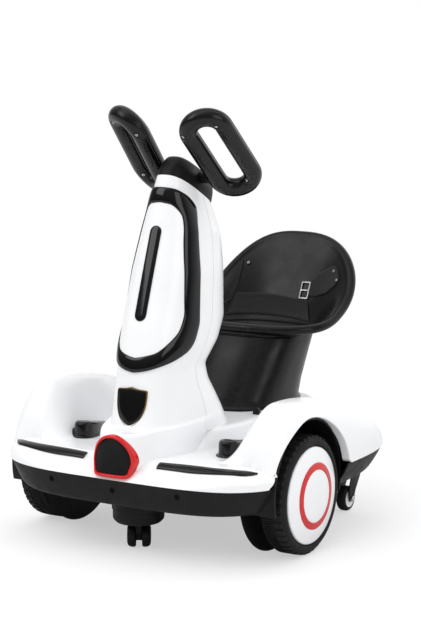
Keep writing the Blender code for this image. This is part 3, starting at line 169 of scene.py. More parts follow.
def moulded(name, colour, rough, tone=0.92, grain=0.0012, depth=0.00001, patch=0.05, gloss=0.5):
    """Injection-moulded plastic: uneven sheen, a faint drift of tone and a fine grain or orange peel."""
    tree, shader, coords = start_material(name, colour)
    cloud = noise(tree, coords, patch)
    darker = tuple(c * tone for c in colour)
    tree.links.new(blend_colour(tree, spread(tree, cloud, 0, 1), darker, colour),
                   shader.inputs["Base Color"])
    handled = noise(tree, coords, patch * 0.35, 4)
    tree.links.new(spread(tree, handled, *rough), shader.inputs["Roughness"])
    tree.links.new(bump(tree, noise(tree, coords, grain, 1), depth), shader.inputs["Normal"])
    shader.inputs["IOR"].default_value = 1.5
    shader.inputs["Specular IOR Level"].default_value = gloss


def metal(name, colour, rough, stretch):
    """Drawn or plated steel: fine lines along the work and a slightly uneven polish."""
    tree, shader, coords = start_material(name, colour)
    lines = noise(tree, coords, 0.0012, 3, stretch)
    duller = tuple(c * 0.82 for c in colour)
    tree.links.new(blend_colour(tree, lines, duller, colour), shader.inputs["Base Color"])
    tree.links.new(spread(tree, lines, *rough), shader.inputs["Roughness"])
    tree.links.new(bump(tree, lines, 0.000015), shader.inputs["Normal"])
    shader.inputs["Metallic"].default_value = 1.0


def make_rubber():
    """Moulded tyre rubber: dark, dull and a little dusty where it has rolled."""
    colour = linear("#131314")
    tree, shader, coords = start_material("rubber", colour)
    dust = noise(tree, coords, 0.018, 6)
    tree.links.new(blend_colour(tree, spread(tree, dust, 0, 1, 0.5, 0.8), colour, linear("#262524")),
                   shader.inputs["Base Color"])
    tree.links.new(spread(tree, dust, 0.58, 0.85), shader.inputs["Roughness"])
    tree.links.new(bump(tree, noise(tree, coords, 0.0009, 2), 0.00004), shader.inputs["Normal"])
    shader.inputs["IOR"].default_value = 1.52
    shader.inputs["Specular IOR Level"].default_value = 0.3


def make_webbing():
    """Woven polyester strap: crossing rows of yarn, drawn 2 mm apart, twice the real pitch, so that
    they still show at this distance."""
    colour = linear("#0D0D0E")
    tree, shader, coords = start_material("webbing", colour)
    yarn_pitch = 0.002
    scale = 1 / yarn_pitch / 3.2
    rows = [add_node(tree, "ShaderNodeTexWave", {"Vector": coords, "Scale": scale, "Distortion": 0.4,
                                                 "Detail": 1.0}, bands_direction=axis).outputs["Fac"]
            for axis in ("X", "Z")]
    yarn = add_node(tree, "ShaderNodeMath", {0: rows[0], 1: rows[1]}, operation="MULTIPLY").outputs[0]
    tree.links.new(blend_colour(tree, yarn, colour, linear("#222224")), shader.inputs["Base Color"])
    tree.links.new(spread(tree, yarn, 0.9, 0.65, 0, 1), shader.inputs["Roughness"])
    tree.links.new(bump(tree, yarn, 0.0004), shader.inputs["Normal"])
    shader.inputs["Sheen Weight"].default_value = 0.15


def make_board():
    """Circuit board under lacquer: tracks as paler stripes."""
    colour = linear("#0F5A34")
    tree, shader, coords = start_material("circuit_green", colour)
    tracks = add_node(tree, "ShaderNodeTexVoronoi", {"Vector": coords, "Scale": 120.0},
                      distance="MANHATTAN").outputs["Distance"]
    tree.links.new(blend_colour(tree, spread(tree, tracks, 0, 1, 0.4, 0.45), colour, linear("#2E8A58")),
                   shader.inputs["Base Color"])
    tree.links.new(spread(tree, tracks, 0.35, 0.5, 0, 1), shader.inputs["Roughness"])


def make_materials(colours):
    """Every material of the scooter, each started from the real stuff."""
    # Gloss ABS: broad clean reflections, barely wavy from the mould
    moulded("white_gloss", tuple(colours.white), (0.16, 0.26), 0.965, 0.006, 0.000012, 0.09)
    moulded("black_gloss", tuple(colours.black), (0.05, 0.12), 0.80, 0.006, 0.000012, 0.07, 0.45)
    # Handled ABS with a soft satin sheen
    moulded("satin_black", linear("#0A0A0B"), (0.20, 0.30), 0.85, 0.0012, 0.00002, 0.05, 0.4)
    moulded("seat_plastic", tuple(colours.seat), (0.22, 0.34), 0.85, 0.0015, 0.00002, 0.08, 0.3)
    # Spark-eroded polypropylene: dull with a fine even grain
    moulded("black_plastic", linear("#0E0E0F"), (0.40, 0.55), 0.85, 0.0010, 0.00004, 0.05, 0.25)
    moulded("grey_plastic", linear("#121213"), (0.42, 0.58), 0.85, 0.0010, 0.00004, 0.05, 0.25)
    moulded("red_gloss", tuple(colours.accent), (0.14, 0.24), 0.88, 0.005, 0.00001)
    moulded("battery_case", linear("#2A2C31"), (0.40, 0.55), 0.85, 0.0012, 0.00004)
    metal("bare_steel", linear("#B4B5B6"), (0.26, 0.42), (1, 1, 0.08))
    metal("chrome", linear("#D8D9DA"), (0.06, 0.16), (1, 1, 1))
    metal("gold_edge", linear("#8C6F3A"), (0.20, 0.34), (1, 1, 1))
    make_rubber()
    make_webbing()
    make_board()


# Shapes


class Shape:
    """Points and faces gathered from several surfaces before they become one mesh."""

    def __init__(self):
        self.points = []
        self.faces = []

    def add(self, other):
        """Take in another shape's points and faces."""
        base = len(self.points)
        self.points.extend(other.points)
        self.faces.extend(tuple(base + i for i in face) for face in other.faces)

    def lattice(self, rows, wrap=True, loop=False, start=False, end=False):
        """Quads through rows of points: wrap closes each row, loop joins the last row to the first."""
        rows = np.asarray(rows, dtype=float)
        count, size = rows.shape[:2]
        base = len(self.points)
        self.points.extend(rows.reshape(-1, 3).tolist())
        for i in range(count if loop else count - 1):
            a, b = base + i * size, base + (i + 1) % count * size
            for j in range(size if wrap else size - 1):
                k = (j + 1) % size
                self.faces.append((a + j, a + k, b + k, b + j))
        if start:
            self.faces.append(tuple(range(base, base + size)))
        if end:
            self.faces.append(tuple(range(base + (count - 1) * size, base + count * size)))
        return self

    def fan(self, rows, tip_first=None, tip_last=None):
        """A wrapped lattice whose ends are drawn to single points where given."""
        rows = np.asarray(rows, dtype=float)
        base = len(self.points)
        size = rows.shape[1]
        self.lattice(rows)
        for tip, first in ((tip_first, base), (tip_last, base + (len(rows) - 1) * size)):
            if tip is not None:
                self.points.append(list(tip))
                hub = len(self.points) - 1
                self.faces.extend((first + j, first + (j + 1) % size, hub) for j in range(size))
        return self


def capped(rows):
    """A surface through closed rows, with a face over each end."""
    return Shape().lattice(rows, start=True, end=True)


def looped(rows):
    """A surface through closed rows whose last row joins the first."""
    return Shape().lattice(rows, loop=True)


def spin(profile, centre, steps=96, axis=(1, 0, 0), side=1):
    """A body turned from (radius, place along the axis); its ends lie on the axis or it is a ring."""
    axis = Vector(axis).normalized()
    across = axis.orthogonal().normalized()
    other = axis.cross(across)
    rows = []
    for k in range(steps):
        angle = 2 * math.pi * k / steps
        out = across * math.cos(angle) + other * math.sin(angle)
        rows.append([Vector(centre) + out * radius + axis * along * side for radius, along in profile])
    shape = Shape()
    ring = profile[0][0] > 0
    shape.lattice(rows, wrap=ring, loop=True)
    return shape


def settle(rows, rounds):
    """Soften the corners between rows by averaging each with its neighbours."""
    for _ in range(rounds):
        rows[1:-1] = (rows[:-2] + 2 * rows[1:-1] + rows[2:]) / 4
    return rows


def squared(values, power):
    """Cosines or sines bent toward a squarer curve."""
    return np.sign(values) * np.abs(values) ** (2 / power)


def smooth_rows(rows, steps, rounds):
    """More rows between the given ones, with the corners between them softened."""
    rows = np.asarray(rows, dtype=float)
    parts = [rows[i] + (rows[i + 1] - rows[i]) * k / steps for i in range(len(rows) - 1)
             for k in range(steps)]
    return settle(np.array(parts + [rows[-1]]), rounds)


def rounded(profile, radius, steps=4, closed=True):
    """A polygon's corners rounded by short arcs; radius is a number or one for each corner."""
    points = [Vector(point) for point in profile]
    count = len(points)
    result = []
    for i, here in enumerate(points):
        amount = radius if isinstance(radius, (int, float)) else radius[i]
        if amount <= 0 or (not closed and i in (0, count - 1)):
            result.append(tuple(here))
            continue
        before, after = points[i - 1] - here, points[(i + 1) % count] - here
        reach = min(amount, before.length * 0.45, after.length * 0.45)
        start, end = here + before.normalized() * reach, here + after.normalized() * reach
        for k in range(steps + 1):
            t = k / steps
            result.append(tuple(start.lerp(here, t).lerp(here.lerp(end, t), t)))
    return result


def curve_through(points, steps):
    """A smooth line through the points, with steps pieces between each two."""
    points = np.asarray(points, dtype=float)
    ends = np.vstack([2 * points[0] - points[1], points, 2 * points[-1] - points[-2]])
    line = []
    for i in range(len(points) - 1):
        a, b, c, d = ends[i:i + 4]
        for k in range(steps):
            t = k / steps
            line.append(0.5 * (2 * b + (c - a) * t + (2 * a - 5 * b + 4 * c - d) * t ** 2
                               + (3 * b - a - 3 * c + d) * t ** 3))
    return np.array(line + [points[-1]])


def to_mesh(name, shape):
    """A clean mesh in the frame's axes, with its faces outward."""
    mesh = bpy.data.meshes.new(name)
    mesh.from_pydata(shape.points, [], shape.faces)
    work = bmesh.new()
    work.from_mesh(mesh)
    bmesh.ops.remove_doubles(work, verts=work.verts, dist=2e-6)
    bmesh.ops.dissolve_degenerate(work, edges=work.edges, dist=1e-6)
    bmesh.ops.recalc_face_normals(work, faces=work.faces)
    if work.calc_volume(signed=True) < 0:
        bmesh.ops.reverse_faces(work, faces=work.faces)
    bmesh.ops.translate(work, verts=work.verts, vec=(0, AXLE_Y, 0))
    work.to_mesh(mesh)
    work.free()
    return mesh


def make_object(name, data):
    """A linked object for a mesh, lamp or camera."""
    made = bpy.data.objects.new(name, data)
    bpy.context.scene.collection.objects.link(made)
    return made


def shaped(name, shape):
    """A linked object for a shape."""
    return make_object(name, to_mesh(name, shape))


def discard(made):
    """Remove an object that was only a tool, with its mesh."""
    mesh = made.data
    bpy.data.objects.remove(made)
    bpy.data.meshes.remove(mesh)


def baked(made):
    """The object with its modifiers applied."""
    bpy.context.view_layer.update()
    mesh = bpy.data.meshes.new_from_object(made.evaluated_get(bpy.context.evaluated_depsgraph_get()))
    old = made.data
    made.modifiers.clear()
    made.data = mesh
    mesh.name = made.name
    bpy.data.meshes.remove(old)
    return made


def carve(made, *cuts, solver="EXACT"):
    """Apply Booleans, each an operation and the shape that it works with."""
    tools = []
    for operation, shape in cuts:
        cutter = shaped("cutter", shape)
        step = made.modifiers.new("cut", "BOOLEAN")
        step.operation = operation
        step.solver = solver
        step.object = cutter
        tools.append(cutter)
    baked(made)
    for cutter in tools:
        discard(cutter)
    return made


def dress(made, finish, body="chassis", stands_for=(), angle=40):
    """Give a piece its material, shading, body, slot (the finish's unless told) and its CAD nodes."""
    made.data.materials.clear()
    made.data.materials.append(bpy.data.materials["finish_" + finish])
    made.data.shade_smooth()
    made.data.set_sharp_from_angle(angle=math.radians(angle))
    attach(made, body)
    if stands_for:
        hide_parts(*stands_for)
    return made


def make_piece(name, shape, finish, body="chassis", stands_for=(), angle=40, cuts=()):
    """A finished piece from a shape, in one call."""
    made = shaped(name, shape)
    if cuts:
        carve(made, *cuts)
    return dress(made, finish, body, stands_for, angle)


def soften(made, width, segments=2, angle=35):
    """Round a piece's sharp edges for good."""
    step = made.modifiers.new("soften", "BEVEL")
    step.width = width
    step.segments = segments
    step.limit_method = "ANGLE"
    step.angle_limit = math.radians(angle)
    return baked(made)


def box_shape(low, high):
    """A box between two corners."""
    (x0, y0, z0), (x1, y1, z1) = low, high
    rows = [[(x0, y0, z), (x1, y0, z), (x1, y1, z), (x0, y1, z)] for z in (z0, z1)]
    return capped(rows)


def prism(outline, low, high, axis="X"):
    """An outline drawn between two places along an axis: (y, z) along X, (x, z) along Y, (x, y) along Z."""
    place = {"X": lambda a, b, reach: (reach, a, b), "Y": lambda a, b, reach: (a, reach, b),
             "Z": lambda a, b, reach: (a, b, reach)}[axis]
    return capped([[place(a, b, reach) for a, b in outline] for reach in (low, high)])


def smooth_step(value, low, high):
    """0 below low, 1 above high, an S between."""
    t = np.clip((value - low) / (high - low), 0, 1)
    return t * t * (3 - 2 * t)


# Body moulding


def plan_point(angle, inset_x=0.0, inset_y=None):
    """The body's outline; angle runs from the front."""
    inset_y = inset_x if inset_y is None else inset_y
    side, along = np.sin(angle), -np.cos(angle)
    reach = (np.abs(side) ** 4 + np.abs(along) ** 4) ** -0.25
    return ((BODY_HALF_WIDTH - inset_x) * side * reach,
            BODY_MIDDLE_Y + (BODY_HALF_LENGTH - inset_y) * along * reach)


def body_top(x, y):
    """Height of the white body above the floor, without the seat's platform."""
    across = np.abs(x)
    peak_y, peak_z, peak_rise, fall_length = -0.030, 0.258, 0.092, 0.078
    crown = np.maximum(peak_z - 0.85 * (y - peak_y) ** 2 - DECK_Z, 0)
    ahead = np.clip((peak_y - y) / fall_length, 0, 1)
    crown = np.where(y < peak_y, peak_rise * (1 - ahead ** 2.2) ** 0.75, crown)
    fender = crown * smooth_step(across, 0.150, 0.215)
    u, v = across / BODY_HALF_WIDTH, (y - BODY_MIDDLE_Y) / BODY_HALF_LENGTH
    share = np.maximum((u ** 4 + np.abs(v) ** 4) ** 0.25, 1e-6)
    depth = np.maximum(np.hypot(x, y - BODY_MIDDLE_Y) * (1 / share - 1), 0)
    depth = np.where(share < 1e-5, BODY_HALF_WIDTH, depth)
    gentle_reach, steep_reach = 0.050, 0.070
    gentle = 1 - np.clip(1 - depth / gentle_reach, 0, 1) ** 1.55
    steep = (1 - np.clip(1 - depth / steep_reach, 0, 1) ** 3) ** (1 / 3)
    flank = smooth_step(across, 0.12, 0.22)
    return BODY_EDGE_Z + (DECK_Z - BODY_EDGE_Z + fender) * (gentle * (1 - flank) + steep * flank)


def top_at(x, y):
    """The body's height at one place."""
    return float(body_top(np.array(x), np.array(y)))


def body_slope(x, y):
    """How steeply the body rises along X and along Y."""
    step = 0.001
    return ((body_top(x + step, y) - body_top(x - step, y)) / (2 * step),
            (body_top(x, y + step) - body_top(x, y - step)) / (2 * step))


def outward(line, i):
    """The direction square to a (y, z) line at its point i, out of the arch."""
    run = line[min(i + 1, len(line) - 1)] - line[max(i - 1, 0)]
    run = run / np.linalg.norm(run)
    return np.array([-run[1], run[0]])


def arch_line(front_fillet=0.020, rear_fillet=0.012):
    """The wheel arch's edge as (y, z), from the body's lower edge in front over to the rear."""
    line = []
    for sign, fillet in ((-1, front_fillet), (1, rear_fillet)):
        rise = BODY_EDGE_Z + fillet - ARCH_Z
        run = math.sqrt((ARCH_RADIUS + fillet) ** 2 - rise ** 2)
        centre = (ARCH_Y + sign * run, BODY_EDGE_Z + fillet)
        turn = math.atan2(rise, run)
        arc = [(centre[0] - sign * fillet * math.sin(a), centre[1] - fillet * math.cos(a))
               for a in np.linspace(0, math.pi / 2 + turn, 12)]
        line.append((arc, turn))
    (front, front_turn), (rear, rear_turn) = line
    top = [(ARCH_Y - ARCH_RADIUS * math.cos(a), ARCH_Z + ARCH_RADIUS * math.sin(a))
           for a in np.linspace(front_turn, math.pi - rear_turn, 72)]
    return front + top[1:-1] + rear[::-1]


def side_x(y, z):
    """How far out the body's flank is at a height, found by halving."""
    low, high = 0.20, 0.30
    for _ in range(30):
        middle = (low + high) / 2
        u, v = middle / BODY_HALF_WIDTH, abs(y - BODY_MIDDLE_Y) / BODY_HALF_LENGTH
        if u ** 4 + v ** 4 < 1 and top_at(middle, y) > z:
            low = middle
        else:
            high = middle
    return low


def arch_lip(side, radius):
    """A rolled lip along the arch's edge that turns inward."""
    line = np.array(arch_line())
    rows = []
    for i, here in enumerate(line):
        out = outward(line, i)
        centre = here + out * radius
        x = side_x(centre[0], centre[1] + radius * 0.5) - radius
        ring = []
        for k in range(9):
            a = math.pi * (k / 8 - 0.5)
            spot = centre + out * radius * math.sin(a)
            ring.append((side * (x + radius * math.cos(a)), *spot))
        for sign in (1, -1):
            spot = centre + out * radius * sign
            ring.append((side * (x - 0.013), *spot))
        rows.append(ring)
    return capped(rows)


def platform_rows():
    """The raised middle under the seat: a flared foot, a wall and a rounded top edge."""
    profile = rounded([(0.026, -0.0012), (0.0125, 0.0), (0.0, PLATFORM_RISE), (-0.030, PLATFORM_RISE)],
                      [0, 0.010, 0.009, 0], 7, closed=False)
    rows = []
    angles = np.linspace(0, 2 * math.pi, 160, endpoint=False)
    for out, height in profile:
        c, s = np.cos(angles), np.sin(angles)
        power = np.where(s < 0, 3.0, 6.0)
        x = (0.108 + out) * squared(c, power)
        y = np.minimum(0.135 + (0.205 + out) * squared(s, power), PLATFORM_REAR_Y)
        deck = body_top(x, y)
        rows.append(np.stack([x, y, deck + (PLATFORM_Z - deck) * height / PLATFORM_RISE], 1))
    return rows


def make_body(sizes):
    """White top moulding: apron, deck, platform and fenders, with rolled arch lips."""
    angles = np.linspace(0, 2 * math.pi, 288, endpoint=False)
    shares = np.concatenate([np.linspace(0, 0.30, 42)[:-1], np.linspace(0.30, 0.97, 52)])
    shares = np.concatenate([[0, 0.0008, 0.002, 0.0035], shares[shares > 0.004]])
    outer = []
    for share in shares:
        x, y = plan_point(angles)
        x, y = x * (1 - share), BODY_MIDDLE_Y + (y - BODY_MIDDLE_Y) * (1 - share)
        outer.append(np.stack([x, y, body_top(x, y)], 1))
    outer = np.array(outer)
    inner = outer.copy()
    for ring, share in zip(inner, shares):
        near = max(1 - share / 0.12, 0)
        slope_x, slope_y = body_slope(ring[:, 0], ring[:, 1])
        steep = np.minimum(np.sqrt(1 + slope_x ** 2 + slope_y ** 2), 2.2) * (1 - near) + near
        ring[:, 2] = np.maximum(ring[:, 2] - sizes.wall * steep, BODY_EDGE_Z - 0.0004)
        ring[:, 0] *= 1 - 0.011 * near
        ring[:, 1] = BODY_MIDDLE_Y + (ring[:, 1] - BODY_MIDDLE_Y) * (1 - 0.011 * near)
    under = outer[0].copy()
    under[:, 0] *= 0.996
    under[:, 1] = BODY_MIDDLE_Y + (under[:, 1] - BODY_MIDDLE_Y) * 0.996
    under[:, 2] = BODY_EDGE_Z - 0.0008
    rows = list(inner[::-1]) + [under] + list(outer)
    shape = Shape().fan(rows, (0, BODY_MIDDLE_Y, DECK_Z - sizes.wall), (0, BODY_MIDDLE_Y, DECK_Z))
    cuts = [("DIFFERENCE", prism(grown_arch(sizes.lip), *sorted((side * 0.195, side * 0.33))))
            for _, side in LEFT_AND_RIGHT]
    body = shaped("body_moulding", shape)
    carve(body, *cuts, solver="MANIFOLD")
    extra = Shape()
    extra.lattice(platform_rows(), end=True)
    for _, side in LEFT_AND_RIGHT:
        extra.add(arch_lip(side, sizes.lip))
    join(body, extra)
    dress(body, "white_gloss", stands_for=["body_shell"], angle=38)


def grown_arch(amount):
    """The arch's edge moved into the body's material, with its feet kept at the body's lower edge."""
    line = np.array(arch_line())
    moved = []
    for i, here in enumerate(line):
        y, z = here + outward(line, i) * amount
        moved.append((y, z if 2 < i < len(line) - 3 else BODY_EDGE_Z - 0.0005))
    moved[0] = (moved[0][0], 0.09)
    moved[-1] = (moved[-1][0], 0.09)
    return moved


def join(made, shape):
    """Add a shape's faces to an object's mesh."""
    extra = to_mesh("extra", shape)
    work = bmesh.new()
    work.from_mesh(made.data)
    work.from_mesh(extra)
    work.to_mesh(made.data)
    work.free()
    bpy.data.meshes.remove(extra)


def tub_rows(inset, lift):
    """The tub's wall from its floor up to the white body, drawn in by inset."""
    levels = ((0.040, 0.022, 0.0880), (0.035, 0.017, 0.0882), (0.026, 0.009, 0.0930),
              (0.016, 0.006, 0.1070), (0.008, 0.004, 0.1200), (0.0030, 0.0025, 0.1300),
              (0.0015, 0.0015, 0.1346))
    angles = np.linspace(0, 2 * math.pi, 224, endpoint=False)
    rows = []
    for x_in, y_in, z in levels:
        x, y = plan_point(angles, x_in + inset, y_in + inset)
        rows.append(np.stack([x, y, np.full_like(x, z + (lift if z < 0.1 else 0))], 1))
    return smooth_rows(rows, 4, 3)


def cylinder(centre, radius, low, high, steps=96, axis=(1, 0, 0)):
    """A plain cylinder for cuts."""
    return spin([(0, low), (radius, low), (radius, high), (0, high)], centre, steps, axis)


SWIVEL_X, SWIVEL_Y = 0.178, 0.317


def make_tub(sizes):
    """Dark lower tub: the skirt, the belly pan and the wheel wells."""
    outer, inner = tub_rows(0, 0), tub_rows(sizes.wall, sizes.wall)
    shape = capped(list(outer) + list(inner[::-1]))
    arch = (0, ARCH_Y, ARCH_Z)
    steps = [("DIFFERENCE", cylinder(spot, 0.0052, -0.006, 0.006, 28, normal))
             for spot, normal in skirt_places()]
    steps += [("UNION", box_shape((-0.191, -0.045, 0.070), (0.191, 0.341, 0.091))),
              ("DIFFERENCE", box_shape((-0.188, -0.042, 0.073), (0.188, 0.338, 0.094)))]
    for side in (1, -1):
        pad = sorted((side * 0.125, side * 0.190))
        gap = sorted((side * 0.128, side * 0.200))
        steps.append(("UNION", box_shape((pad[0], 0.265, 0.071), (pad[1], 0.340, 0.075))))
        steps.append(("DIFFERENCE", box_shape((gap[0], 0.268, 0.060), (gap[1], 0.351, 0.072))))
    steps += [("UNION", well_liner(side)) for side in (1, -1)]
    for side in (1, -1):
        reach = sorted((side * 0.197, side * 0.330))
        below = sorted((side * 0.1945, side * 0.320))
        steps.append(("DIFFERENCE", cylinder(arch, ARCH_RADIUS - 0.0034, *reach)))
        steps.append(("DIFFERENCE", box_shape((below[0], ARCH_Y - 0.1112, -0.01),
                                              (below[1], ARCH_Y + 0.1112, 0.0868))))
    steps.append(("DIFFERENCE", cylinder(WHEEL_CENTRE, 0.008, -0.21, 0.21, 32)))
    for side in (1, -1):
        stem = cylinder((side * SWIVEL_X, SWIVEL_Y, 0.070), 0.0065, -0.01, 0.01, 24, (0, 0, 1))
        steps.append(("DIFFERENCE", stem))
    tub = shaped("base_moulding", shape)
    carve(tub, *steps)
    dress(tub, "grey_plastic", stands_for=["base_tub"], angle=32)


def well_liner(side):
    """A closed drum that fills a wheel arch up to just under the white body."""
    rows = []
    for reach in np.linspace(0.1940, 0.2600, 12):
        ring = []
        for a in np.linspace(0, 2 * math.pi, 96, endpoint=False):
            radius = ARCH_RADIUS - 0.0004
            y, z = ARCH_Y + radius * math.cos(a), ARCH_Z + radius * math.sin(a)
            roof = top_at(reach, y) - 0.0050
            ring.append((side * reach, y, min(z, max(roof, BODY_EDGE_Z - 0.002)) if z > 0.12 else z))
        rows.append(ring)
    return capped(rows)


# Column


SECTIONS = np.array((
    # front y, front z, rear y, rear z, half-width, squareness, taper toward the front
    (-0.190, 0.146, 0.082, 0.156, 0.088, 3.6, 0.50),
    (-0.187, 0.188, 0.077, 0.200, 0.088, 3.6, 0.50),
    (-0.180, 0.2105, 0.070, 0.216, 0.085, 3.4, 0.46),
    (-0.139, 0.2090, 0.062, 0.230, 0.081, 3.4, 0.35),
    (-0.131, 0.240, 0.050, 0.250, 0.076, 3.4, 0.30),
    (-0.126, 0.272, 0.038, 0.278, 0.068, 3.0, 0.20),
    (-0.121, 0.303, 0.036, 0.303, 0.063, 2.8, 0.12),
    (-0.113, 0.338, 0.080, 0.338, 0.066, 2.6, 0.04),
    (-0.104, 0.374, 0.104, 0.374, 0.067, 2.4, 0.0),
    (-0.074, 0.460, 0.104, 0.460, 0.063, 2.4, 0.0),
    (-0.048, 0.532, 0.104, 0.510, 0.053, 2.5, 0.0),
    (-0.035, 0.580, 0.102, 0.535, 0.041, 2.6, 0.0),
    (-0.024, 0.619, 0.095, 0.5575, 0.0305, 2.9, 0.0),
))
WIDEST_SHARE = 0.58
COVER_WALL = 0.0025


def fine_sections():
    """The column's sections every few millimetres of height, with their corners softened."""
    rows = []
    for first, second in zip(SECTIONS, SECTIONS[1:]):
        steps = max(3, int(round(np.linalg.norm(second[:2] - first[:2]) / 0.0025)))
        rows.extend(first + (second - first) * k / steps for k in range(steps))
    return settle(np.array(rows + [SECTIONS[-1]]), 6)


FINE = fine_sections()
FINE_V = np.arange(len(FINE), dtype=float)


def spec_at(v):
    """The softened section's numbers at a place v up the column."""
    return [np.interp(v, FINE_V, FINE[:, k]) for k in range(7)]


def column_point(v, angle, inset=0.0, rear=False):
    """Points of the column's skin: v runs up it, angle from the middle of its front or rear."""
    front_y, front_z, rear_y, rear_z, half_width, power, taper = spec_at(v)
    run = np.hypot(rear_y - front_y, rear_z - front_z)
    ay, az = (rear_y - front_y) / run, (rear_z - front_z) / run
    front_y, front_z = front_y + ay * inset, front_z + az * inset
    rear_y, rear_z = rear_y - ay * inset, rear_z - az * inset
    half_width = half_width - inset
    middle_y = front_y + (rear_y - front_y) * WIDEST_SHARE
    middle_z = front_z + (rear_z - front_z) * WIDEST_SHARE
    end_y, end_z = (rear_y, rear_z) if rear else (front_y, front_z)
    back = np.clip(np.cos(angle), 0, 1) ** (2 / power)
    wide = np.abs(np.sin(angle)) ** (2 / power) * np.sign(angle)
    narrow = 1 if rear else 1 - taper * back
    return np.stack([half_width * wide * narrow, middle_y + (end_y - middle_y) * back,
                     middle_z + (end_z - middle_z) * back], -1)


def lifted(v, angle, lift):
    """Points lifted off the column's front along its own normal."""
    dv, da = 0.6, 0.02
    along = column_point(v + dv, angle) - column_point(v - dv, angle)
    around = column_point(v, angle + da) - column_point(v, angle - da)
    normal = np.cross(around, along)
    normal /= np.maximum(np.linalg.norm(normal, axis=-1, keepdims=True), 1e-12)
    centre = column_point(v, angle) - np.array([0, -0.02, 0])
    normal *= np.sign(np.sum(normal * np.array([0, -1, 0]), -1, keepdims=True)
                      + 2 * np.abs(normal[..., :1]) * np.sign(normal[..., :1] * centre[..., :1]))
    return column_point(v, angle) + normal * np.asarray(lift)[..., None]


def from_side(points):
    """Places (v, angle) on the column's front half of points seen from the side as (y, z)."""
    v = np.linspace(0, FINE_V[-1], 1600)
    front_y, front_z, rear_y, rear_z, _, power, _ = spec_at(v)
    found = []
    for y, z in points:
        share = (y - front_y) / (rear_y - front_y)
        place = np.interp(z, front_z + (rear_z - front_z) * share, v)
        s = np.interp(place, v, share)
        back = np.clip(1 - s / WIDEST_SHARE, 0, 1)
        found.append((place, math.acos(back ** (np.interp(place, v, power) / 2))))
    return np.array(found)


def from_front(points):
    """Places (v, angle) on the column's front of points seen from the front as (x, z)."""
    found = []
    for x, z in points:
        place, angle = float(np.interp(z, FINE[:, 1], FINE_V)), 0.0
        for _ in range(12):
            _, front_z, _, rear_z, half_width, power, taper = spec_at(place)
            back = math.cos(angle) ** (2 / power)
            wide = min(abs(x) / (half_width * (1 - taper * back)), 1)
            angle = math.asin(wide ** (power / 2))
            slant = (rear_z - front_z) * WIDEST_SHARE * (1 - math.cos(angle) ** (2 / power))
            place = float(np.interp(z - slant, FINE[:, 1], FINE_V))
        found.append((place, math.copysign(angle, x)))
    return np.array(found)


def make_column(sizes):
    """White front and rear covers with a fine seam between them."""
    for rear, name in ((False, "column_front"), (True, "column_rear")):
        angles = np.linspace(-math.pi / 2, math.pi / 2, 73)
        rows = []
        for v in FINE_V:
            outside = column_point(v, angles, 0.0, rear)
            inside = column_point(v, angles[::-1], COVER_WALL, rear)
            shift = (sizes.seam / 2) * (1 if rear else -1)
            for edge in (outside[0], outside[-1], inside[0], inside[-1]):
                edge[1] += shift
            rows.append(np.vstack([outside, inside]))
        rows = np.array(rows)
        x, y = rows[..., 0], rows[..., 1]
        ground = body_top(x, y)
        on_platform = (np.abs(x) < 0.100) & (y > -0.060)
        ground = np.where(on_platform, PLATFORM_Z, ground) - 0.0015
        rows[..., 2] = np.maximum(rows[..., 2], ground)
        shape = capped(rows)
        make_piece(name, shape, "white_gloss", stands_for=[name + "_cover"], angle=50)


LOOP_OUTER = ((-0.121, 0.301), (-0.110, 0.309), (-0.088, 0.317), (-0.069, 0.324), (-0.050, 0.333),
              (-0.035, 0.347), (-0.026, 0.365), (-0.019, 0.397), (-0.010, 0.464), (0.000, 0.527),
              (0.008, 0.556), (0.008, 0.567), (0.000, 0.578), (-0.009, 0.586), (-0.022, 0.595),
              (-0.030, 0.599))
LOOP_INNER = ((-0.116, 0.325), (-0.107, 0.333), (-0.097, 0.341), (-0.083, 0.353), (-0.071, 0.364),
              (-0.063, 0.376), (-0.055, 0.394), (-0.051, 0.420), (-0.046, 0.449), (-0.040, 0.481),
              (-0.033, 0.513), (-0.026, 0.542), (-0.026, 0.554), (-0.030, 0.564), (-0.034, 0.571),
              (-0.037, 0.574))


def loop_places(outline):
    """A loop's edge on the column, from the foot's middle round both sides."""
    places = from_side(outline)
    places[0, 1] = places[-1, 1] = 0.0
    line = curve_through(places, 9)
    line[:, 1] = np.maximum(line[:, 1], 0)
    other = line[::-1][1:-1] * np.array([1, -1])
    return np.vstack([line, other])


def make_loop():
    """Gloss black loop, crowned across its width, round the white plate."""
    outer, inner = loop_places(LOOP_OUTER), loop_places(LOOP_INNER)
    rows = []
    for share, lift in ((0.0, -0.0010), (0.0, 0.0018), (0.015, 0.0028), (0.06, 0.0035), (0.2, 0.0041),
                        (0.35, 0.0044), (0.5, 0.0045), (0.65, 0.0044), (0.8, 0.0041), (0.94, 0.0035),
                        (0.985, 0.0028), (1.0, 0.0018), (1.0, -0.0010)):
        spot = outer + (inner - outer) * share
        rows.append(lifted(spot[:, 0], spot[:, 1], np.full(len(spot), lift)))
    make_piece("loop_trim", looped(rows), "black_gloss",
               stands_for=["column_trim"], angle=50)
    half = loop_places(LOOP_INNER)[:len(LOOP_INNER) * 9 - 8]
    edge_v = np.linspace(half[0, 0] - 1.2, half[-1, 0] + 1.2, 110)
    order = np.argsort(half[:, 0])
    reach = np.interp(edge_v, half[order, 0], half[order, 1]) + 0.02
    across = np.linspace(-1, 1, 61)
    rows = []
    for v, a in zip(edge_v, reach):
        upper, lower = (lifted(np.full(61, v), across * a, np.full(61, lift)) for lift in (0.0019, 0.0004))
        rows.append(np.vstack([upper, lower[::-1]]))
    make_piece("front_plate", capped(rows), "white_gloss",
               stands_for=["column_plate"], angle=50)


